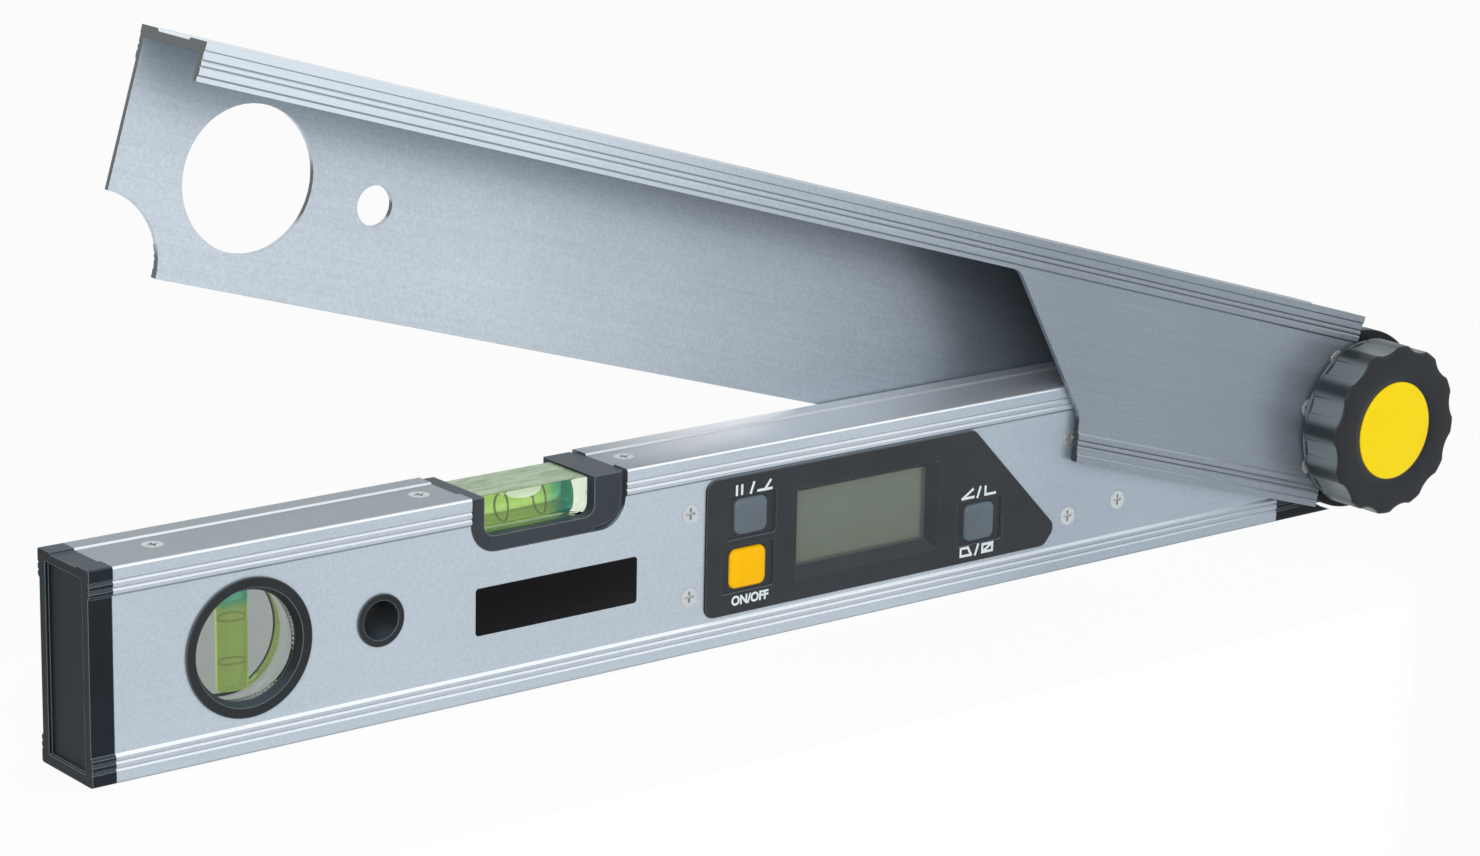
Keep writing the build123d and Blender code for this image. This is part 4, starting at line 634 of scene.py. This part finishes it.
def make_knob():
    centre = (PIVOT_X, 0, PIVOT_Z)
    rings = [tip(centre, "Y", SEAT_PROFILE[0][0] * MM)]
    rings += [knob_ring(y * MM, radius * MM) for y, radius in SEAT_PROFILE]
    for step in range(7):
        angle = pi / 2 * step / 6
        rings.append(knob_ring(KNOB_FACE + KNOB_RIM * (1 - cos(angle)),
                               inset=KNOB_RIM * (1 - sin(angle))))
    rings.append(knob_ring(GRIP_END))
    rings += [knob_ring(y * MM, radius * MM) for y, radius in BACK_PROFILE]
    rings.append(tip(centre, "Y", BACK_PROFILE[-1][0] * MM))
    shells = [skin(rings)]
    # ribs inside, 1.6 mm thick, tie the boss to the wall and run 0.2 mm into both
    for index in range(RIBS):
        angle = tau * index / RIBS
        out = Vector((cos(angle), 0, sin(angle)))
        side = Vector((-sin(angle), 0, cos(angle))) * 0.8 * MM
        ends = []
        for reach in (7.8 * MM, 22.6 * MM):
            base = Vector(centre) + out * reach
            ends.append([tuple(base + side * way + Vector((0, y, 0)))
                         for way, y in ((1, -25.8 * MM), (1, KNOB_BACK - 0.3 * MM),
                                        (-1, KNOB_BACK - 0.3 * MM), (-1, -25.8 * MM))])
        shells.append(skin(ends))
    piece = make_piece("knob_lobed_grip", shells, KNOB_ABS, "knob", sharp=40)
    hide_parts("lock_knob")

    disc = [tip(centre, "Y", DISC_PROFILE[0][0] * MM)]
    disc += [circle(centre, radius * MM, "Y", y * MM, 96) for y, radius in DISC_PROFILE]
    disc.append(tip(centre, "Y", DISC_PROFILE[-1][0] * MM))
    piece = make_piece("knob_face_disc", [skin(disc)], YELLOW_ABS, "knob")
    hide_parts("knob_disc")


# ---- the push buttons -----------------------------------------------------

FLANGE = 1.1 * MM
FLANGE_THICKNESS = 0.9 * MM
BUTTON_CORNER = 2.3 * MM
# depth behind the front and inset from the side, in millimetres
CROWN = ((1.7, 0), (1.15, 0.06), (0.75, 0.24), (0.48, 0.52), (0.30, 0.92), (0.18, 1.5),
         (0.09, 2.3), (0.03, 3.2))


def make_button(name, node, body, material):
    """A moulded button: a flange behind the plate and a soft crowned cap."""
    low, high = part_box(node)
    x0, x1 = low.x + FLANGE, high.x - FLANGE
    z0, z1 = low.z + FLANGE, high.z - FLANGE
    front, back = low.y, high.y
    rings = [round_rectangle(low.x, high.x, low.z, high.z, BUTTON_CORNER, y)
             for y in (back, back - FLANGE_THICKNESS)]
    sides = [(back - FLANGE_THICKNESS - front, 0)]
    for depth, inset in sides + [(depth * MM, inset * MM) for depth, inset in CROWN]:
        corner = max(BUTTON_CORNER - inset * 0.6, 0.5 * MM)
        rings.append(round_rectangle(x0 + inset, x1 - inset, z0 + inset, z1 - inset, corner,
                                     front + depth))
    rings.append([((x0 + x1) / 2, front, (z0 + z1) / 2)])
    piece = make_piece(name, [skin(rings)], material, body)
    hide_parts(node)


# ---- the screen's window --------------------------------------------------

PANEL_GAP = 0.06 * MM


def make_screen_window():
    """The window over the screen, clear of the panel by a gap so light reaches it."""
    low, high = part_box("lcd_window")
    ease = 0.1 * MM
    rings = [round_rectangle(low.x + inset, high.x - inset, low.z + inset, high.z - inset,
                             0.5 * MM, y, steps=3)
             for y, inset in ((low.y, ease), (low.y + ease, 0), (high.y - PANEL_GAP, 0))]
    piece = make_piece("screen_window_pane", [skin(rings)], SCREEN_COVER, "body")
    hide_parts("lcd_window")


# ---- the spirit vials -----------------------------------------------------

BORE = 4.2 * MM
# the liquid overlaps the bore by this much, so light passes from acrylic to liquid
OVERLAP = 0.02 * MM
TUBE_POINTS = 64
ROUND_END = 0.5 * MM
LEVEL_CENTRE = (-74.65 * MM, 0, 49.2 * MM)
LEVEL_HALF = 15 * MM
PLUMB_CENTRE = (-164.15 * MM, 0, 28 * MM)
PLUMB_HALF = 12.5 * MM
# the level's bubble: its middle, half its length, and its depth under the tube's wall
LEVEL_BUBBLE = -75.0 * MM
BUBBLE_HALF = 6.0 * MM
BUBBLE_DEPTH = 2.3 * MM
# the plumb's bubble: its middle and half sizes, and how far the gas laps its hollow
PLUMB_BUBBLE = (PLUMB_CENTRE[0], 0, 38.9 * MM)
PLUMB_BUBBLE_REACH = (3.3 * MM, 3.3 * MM, 1.1 * MM)
LAP = 0.03 * MM
# a block's eased edge, and a point half way round it
EASE, PART_EASE = 0.3 * MM, 0.09 * MM
SEAT_CORNER, TOP_CORNER = 3.1 * MM, 0.4 * MM
SATIN_MARGIN = 0.35 * MM
SATIN = 0.05 * MM


def bubble(centre, reach):
    """An egg-shaped gas bubble, with its half sizes."""
    count, rows = 32, 14
    rings = []
    for row in range(rows + 1):
        angle = pi * row / rows
        x = centre[0] - reach[0] * cos(angle)
        if row in (0, rows):
            rings.append([(x, centre[1], centre[2])])
            continue
        rings.append([(x, centre[1] + reach[1] * sin(angle) * cos(tau * step / count),
                       centre[2] + reach[2] * sin(angle) * sin(tau * step / count))
                      for step in range(count)])
    return skin(rings)


def level_liquid():
    """The level's liquid with a bubble under the tube's top wall, and the gas in it."""
    x0, y0, z0 = LEVEL_CENTRE
    across = BORE + OVERLAP
    end = LEVEL_HALF + OVERLAP
    cut = 0.15 * MM
    # places along the tube, with how far its wall stands back there
    stations = [(-end, ROUND_END), (-end + cut, cut), (-end + ROUND_END, 0)]
    stations += [(LEVEL_BUBBLE - x0 - BUBBLE_HALF * cos(pi * step / 24), 0)
                 for step in range(25)]
    stations += [(end - ROUND_END, 0), (end - cut, cut), (end, ROUND_END)]
    liquid = [[(x0 - end, y0, z0)]]
    gas = []
    for x, back in stations:
        radius = across - back
        inside = 1 - ((x + x0 - LEVEL_BUBBLE) / BUBBLE_HALF) ** 2
        level = radius - BUBBLE_DEPTH * sqrt(max(inside, 0))
        ring = circle(LEVEL_CENTRE, radius, "X", x0 + x, TUBE_POINTS)
        liquid.append([(px, py, min(pz, z0 + level)) for px, py, pz in ring])
        if inside > 1e-6:
            half = sqrt(radius ** 2 - level ** 2)
            widths = [half * cos(pi * step / 16) for step in range(17)]
            gas.append([(x0 + x, y0 + y, z0 + sqrt(radius ** 2 - y ** 2) + OVERLAP)
                        for y in widths]
                       + [(x0 + x, y0 - y, z0 + level - LAP) for y in widths])
    liquid.append([(x0 + end, y0, z0)])
    return skin(liquid), skin(gas)


def tube(centre, axis, half, radius):
    """A liquid column or bore with slightly rounded ends."""
    middle = centre["XYZ".index(axis)]
    angles = [pi / 2 * step / 4 for step in range(5)]
    quarter = [(ROUND_END * (1 - cos(angle)), ROUND_END * (1 - sin(angle))) for angle in angles]
    rings = [tip(centre, axis, middle - half)]
    rings += [circle(centre, radius - back, axis, middle - half + cut, TUBE_POINTS)
              for cut, back in quarter]
    rings += [circle(centre, radius - back, axis, middle + half - cut, TUBE_POINTS)
              for cut, back in reversed(quarter)]
    rings.append(tip(centre, axis, middle + half))
    return skin(rings)


def eased_depths(low, high):
    """Depths from front to back, with the insets that ease both edges."""
    return ((low, EASE), (low + PART_EASE, PART_EASE), (low + EASE, 0),
            (high - EASE, 0), (high - PART_EASE, PART_EASE), (high, EASE))


def make_level_vial():
    low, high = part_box("level_vial_block")
    rings = []
    for y, inset in eased_depths(low.y, high.y):
        # round lower corners, as the seat has
        ring = []
        for x, z, start, radius in (
                (high.x - TOP_CORNER, high.z - TOP_CORNER, 0, TOP_CORNER),
                (low.x + TOP_CORNER, high.z - TOP_CORNER, 90, TOP_CORNER),
                (low.x + SEAT_CORNER, low.z + SEAT_CORNER, 180, SEAT_CORNER),
                (high.x - SEAT_CORNER, low.z + SEAT_CORNER, 270, SEAT_CORNER)):
            ring += arc(x, z, radius - inset, start, y, 8)
        rings.append(ring)
    bore = tube(LEVEL_CENTRE, "X", LEVEL_HALF, BORE)
    piece = make_piece("level_vial_clear_block", [skin(rings)], ACRYLIC, "body",
                       sharp=30, voids=[bore])
    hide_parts("level_vial_block")
    liquid, gas = level_liquid()
    piece = make_piece("level_vial_liquid", [liquid], LEVEL_FLUID, "body", sharp=50)
    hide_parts("level_vial_fluid")
    make_piece("level_vial_gas", [gas], GAS, "body")
    # satin skins: on the block's top face, and just inside its floor, where the sheet is a
    # painted highlight for the pale band along the block's foot
    for name, rim, height in (("level_vial_satin_top", SATIN_MARGIN, high.z + 0.01 * MM),
                              ("level_vial_painted_highlight_floor", 3.3 * MM, low.z + SATIN)):
        x0, x1 = low.x + rim, high.x - rim
        y0, y1 = low.y + SATIN_MARGIN, high.y - SATIN_MARGIN
        sheet = [[(x0, y0, z), (x1, y0, z), (x1, y1, z), (x0, y1, z)]
                 for z in (height, height + SATIN)]
        make_piece(name, [skin(sheet)], SATIN_ACRYLIC, "body")


def make_plumb_vial():
    low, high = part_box("plumb_vial_block")
    radius = (high.x - low.x) / 2
    rings = [tip(PLUMB_CENTRE, "Y", low.y)]
    rings += [circle(PLUMB_CENTRE, radius - inset, "Y", y, 96)
              for y, inset in eased_depths(low.y, high.y)]
    rings.append(tip(PLUMB_CENTRE, "Y", high.y))
    bore = tube(PLUMB_CENTRE, "Z", PLUMB_HALF, BORE)
    piece = make_piece("plumb_vial_clear_block", [skin(rings)], DISC_ACRYLIC, "body",
                       sharp=30, voids=[bore])
    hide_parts("plumb_vial_block")
    hollow = bubble(PLUMB_BUBBLE, PLUMB_BUBBLE_REACH)
    gas = bubble(PLUMB_BUBBLE, [size + LAP for size in PLUMB_BUBBLE_REACH])
    column = tube(PLUMB_CENTRE, "Z", PLUMB_HALF + OVERLAP, BORE + OVERLAP)
    piece = make_piece("plumb_vial_liquid", [column], PLUMB_FLUID, "body",
                       sharp=60, voids=[hollow])
    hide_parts("plumb_vial_fluid")
    make_piece("plumb_vial_gas", [gas], GAS, "body")


# ---- label and printed marks ----------------------------------------------

NEAR_WALL = -11.9 * MM
LABEL_SIDES = (-95.2, -42.6, 18.0, 31.0)
LABEL_CORNER = 1.0 * MM


def make_label():
    """A plain black film on the near wall, 52.6 x 13 mm and 0.12 mm thick."""
    x0, x1, z0, z1 = (side * MM for side in LABEL_SIDES)
    edge = 0.06 * MM
    rings = [round_rectangle(x0, x1, z0, z1, LABEL_CORNER, NEAR_WALL + 0.02 * MM),
             round_rectangle(x0, x1, z0, z1, LABEL_CORNER, NEAR_WALL - 0.08 * MM),
             round_rectangle(x0 + edge, x1 - edge, z0 + edge, z1 - edge, 0.94 * MM,
                             NEAR_WALL - 0.12 * MM)]
    make_piece("side_label_film", [skin(rings)], FILM, "body")


PLATE_FRONT = -12.5 * MM
INK = 0.03 * MM
# each bar of ink stands this much higher than the one before, so no two faces are level
INK_STEP = 0.002 * MM
STROKE = 0.75 * MM


def stroke(points, layer):
    """A line of ink as thin closed bars."""
    bars = []
    for (x0, z0), (x1, z1) in zip(points, points[1:]):
        length = hypot(x1 - x0, z1 - z0)
        ux, uz = (x1 - x0) / length * STROKE / 2, (z1 - z0) / length * STROKE / 2
        corners = [(x0 - ux - uz, z0 - uz + ux), (x1 + ux - uz, z1 + uz + ux),
                   (x1 + ux + uz, z1 + uz - ux), (x0 - ux + uz, z0 - uz - ux)]
        front = PLATE_FRONT - INK - (layer + len(bars)) * INK_STEP
        bars.append(skin([[(x, y, z) for x, z in corners] for y in (PLATE_FRONT + INK, front)]))
    return bars


# generic marks, drawn about the origin in a box 5 wide and 3 high, in millimetres
PAUSE = [[(-1.0, -1.15), (-1.0, 1.15)], [(0.8, -1.15), (0.8, 1.15)]]
TWIN_ANGLE = [[(-2.3, -1.15), (2.3, -1.15)], [(0, -1.15), (1.9, 1.15)]]
WEDGE = [[(2.1, -1.15), (-2.1, -1.15), (1.7, 1.15)]]
CORNER = [[(-1.6, 1.15), (-1.6, -1.15), (2.1, -1.15)]]
BEVEL = [[(-2.0, -1.15), (2.0, -1.15), (0.7, 1.15), (-2.0, 1.15), (-2.0, -1.15)]]
MITRE = [[(-1.9, -1.15), (1.9, -1.15), (1.9, 1.15), (-1.9, 1.15), (-1.9, -1.15)],
         [(-1.9, -1.15), (1.9, 1.15)]]
SLASH = [[(-0.5, -1.35), (0.5, 1.35)]]


def make_mark_pair(name, x, z, left, right, spread):
    """Two small symbols with a slash between them. Sizes are in millimetres."""
    bars = []
    for symbol, shift in ((left, -spread), (SLASH, 0), (right, spread)):
        for line in symbol:
            bars += stroke([(x * MM + (px + shift) * MM, z * MM + pz * MM) for px, pz in line],
                           len(bars))
    make_piece(name, bars, WHITE_INK, "body")


def make_switch_words(name, text, x, z, height, width):
    """The words on a switch, printed on the plate and fitted to a height and width."""
    words = bpy.data.curves.new(name, "FONT")
    words.body = text
    words.align_x = "CENTER"
    words.align_y = "CENTER"
    words.extrude = INK / height / 2
    words.offset = 0.04
    holder = bpy.data.objects.new(name, words)
    bpy.context.scene.collection.objects.link(holder)
    bpy.context.view_layer.update()
    mesh = bpy.data.meshes.new_from_object(holder)
    bpy.data.objects.remove(holder)
    shape = bmesh.new()
    shape.from_mesh(mesh)
    bmesh.ops.remove_doubles(shape, verts=shape.verts, dist=1e-4)
    wide = [vert.co.x for vert in shape.verts]
    tall = [vert.co.y for vert in shape.verts]
    mid_x, mid_y = (max(wide) + min(wide)) / 2, (max(tall) + min(tall)) / 2
    scale_x = width / (max(wide) - min(wide))
    scale_z = height / (max(tall) - min(tall))
    for vert in shape.verts:
        front = vert.co.z > 0
        vert.co = (x + (vert.co.x - mid_x) * scale_x,
                   PLATE_FRONT - INK if front else PLATE_FRONT + INK / 2,
                   z + (vert.co.y - mid_y) * scale_z)
    bmesh.ops.recalc_face_normals(shape, faces=shape.faces)
    shape.to_mesh(mesh)
    shape.free()
    mesh.materials.clear()
    mesh.materials.append(WHITE_INK)
    piece = bpy.data.objects.new(name, mesh)
    bpy.context.scene.collection.objects.link(piece)
    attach(piece, "body")


make_knob()
make_button("hold_button_cap", "button_hold", "hold_key", GREY_ABS)
make_button("power_button_cap", "button_power", "power_key", AMBER_ABS)
make_button("mode_button_cap", "button_mode", "mode_key", GREY_ABS)
make_screen_window()
make_level_vial()
make_plumb_vial()
make_label()
make_mark_pair("hold_marks", -3.8, 44.1, PAUSE, TWIN_ANGLE, 4.4)
make_mark_pair("upper_mode_marks", 79.7, 29.4, WEDGE, CORNER, 4.1)
make_mark_pair("lower_mode_marks", 79.6, 12.2, BEVEL, MITRE, 4.1)
make_switch_words("power_switch_words", "ON/OFF", -3.8 * MM, 12.6 * MM, 2.8 * MM, 13.0 * MM)


# ---- floor, light and camera ----------------------------------------------

# left, right, half depth and corner: the floor, and the low table that the body is on
FLOOR = (-4.0, 4.0, 4.0, 0.5)
TABLE = (-0.27, 0.195, 0.09, 0.02)
FLOOR_LEVEL = -0.30
TABLE_GAP = 0.2 * MM


def seen_white(tree):
    """1 for rays from the camera and for reflected and refracted rays, else 0."""
    path = add(tree, "LightPath").outputs
    first = add(tree, "Math", {"operation": "MAXIMUM"},
                {0: path["Is Camera Ray"], 1: path["Is Glossy Ray"]})
    return add(tree, "Math", {"operation": "MAXIMUM"},
               {0: first, 1: path["Is Transmission Ray"]})


def floor_material():
    """White paper sweep: shown white, with the object's soft shadow kept."""
    material, tree, place = blank("white_paper_sweep")
    fibre = add(tree, "TexNoise", {"Scale": 1 / (8 * MM), "Detail": 2.0},
                {"Vector": place["Object"]})
    skin = add(tree, "Mix", {"data_type": "RGBA", FIRST: colour("FAFAFA"),
                             SECOND: colour("FFFFFF")}, {SHARE: fibre})
    paper = add(tree, "BsdfDiffuse", None, {"Color": skin})
    glow = add(tree, "Emission", {"Strength": 1.0})
    share = add(tree, "Math", {"operation": "MULTIPLY", 1: 0.93}, {0: seen_white(tree)})
    both = add(tree, "MixShader", None, {0: share, 1: paper, 2: glow})
    add(tree, "OutputMaterial", None, {"Surface": both})
    return material


def make_floor():
    """A wide floor with a low table, on which the body stands.

    The table ends short of the pivot, so the arm can swing down past it.
    """
    table_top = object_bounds()[0].z - TABLE_GAP
    mesh = bpy.data.meshes.new("studio_floor")
    sheet = bmesh.new()
    rings = []
    for (x0, x1, half, corner), level in ((FLOOR, FLOOR_LEVEL), (TABLE, FLOOR_LEVEL),
                                          (TABLE, table_top)):
        ring = round_rectangle(x0, x1, -half, half, corner, 0)
        rings.append([sheet.verts.new((x, y, level)) for x, _, y in ring])
    count = len(rings[0])
    for outer, inner in zip(rings, rings[1:]):
        for step in range(count):
            turn = (step + 1) % count
            sheet.faces.new((outer[step], outer[turn], inner[turn], inner[step]))
    sheet.faces.new(rings[-1])
    sheet.to_mesh(mesh)
    sheet.free()
    mesh.materials.append(floor_material())
    floor = bpy.data.objects.new("studio_floor", mesh)
    bpy.context.scene.collection.objects.link(floor)


def make_world():
    world = bpy.data.worlds.new("studio")
    world.use_nodes = True
    tree = world.node_tree
    tree.nodes.clear()
    soft = add(tree, "Background", {"Color": (1, 1, 1, 1), "Strength": 0.5})
    white = add(tree, "Background", {"Color": (1, 1, 1, 1), "Strength": 1.0})
    both = add(tree, "MixShader", None, {0: seen_white(tree), 1: soft, 2: white})
    add(tree, "OutputWorld", None, {"Surface": both})
    bpy.context.scene.world = world


def make_lamp(name, place, target, width, height, power):
    light = bpy.data.lights.new(name, "AREA")
    light.shape = "RECTANGLE"
    light.size, light.size_y = width, height
    light.energy = power
    lamp = bpy.data.objects.new(name, light)
    lamp.location = place
    lamp.rotation_euler = (Vector(target) - Vector(place)).to_track_quat("-Z", "Y").to_euler()
    bpy.context.scene.collection.objects.link(lamp)


def make_camera():
    """The photograph's view: a 98 mm lens about 1.1 m from the tool, rolled by 1.3 degrees."""
    place = Vector((-0.6711, -0.8387, 0.3471))
    target = Vector((-0.0112, -0.0157, 0.0628))
    data = bpy.data.cameras.new("photo_camera")
    data.lens = 98.27
    data.sensor_width = 36
    camera = bpy.data.objects.new("photo_camera", data)
    camera.location = place
    look = (target - place).to_track_quat("-Z", "Y")
    camera.rotation_mode = "QUATERNION"
    camera.rotation_quaternion = look @ Quaternion((0, 0, 1), radians(1.284))
    bpy.context.scene.collection.objects.link(camera)
    bpy.context.scene.camera = camera


make_floor()
make_world()
make_lamp("key_lamp", (-0.75, -0.95, 0.95), (-0.05, 0, 0.05), 1.0, 1.0, 8)
make_lamp("fill_lamp", (0.9, -1.2, 0.6), (0.05, 0, 0.05), 1.0, 0.8, 2.5)
make_lamp("low_lamp", (-0.9, -0.9, 0.25), (0.0, 0, 0.06), 1.0, 0.6, 3.5)
make_camera()
bpy.context.scene.view_settings.view_transform = "Standard"
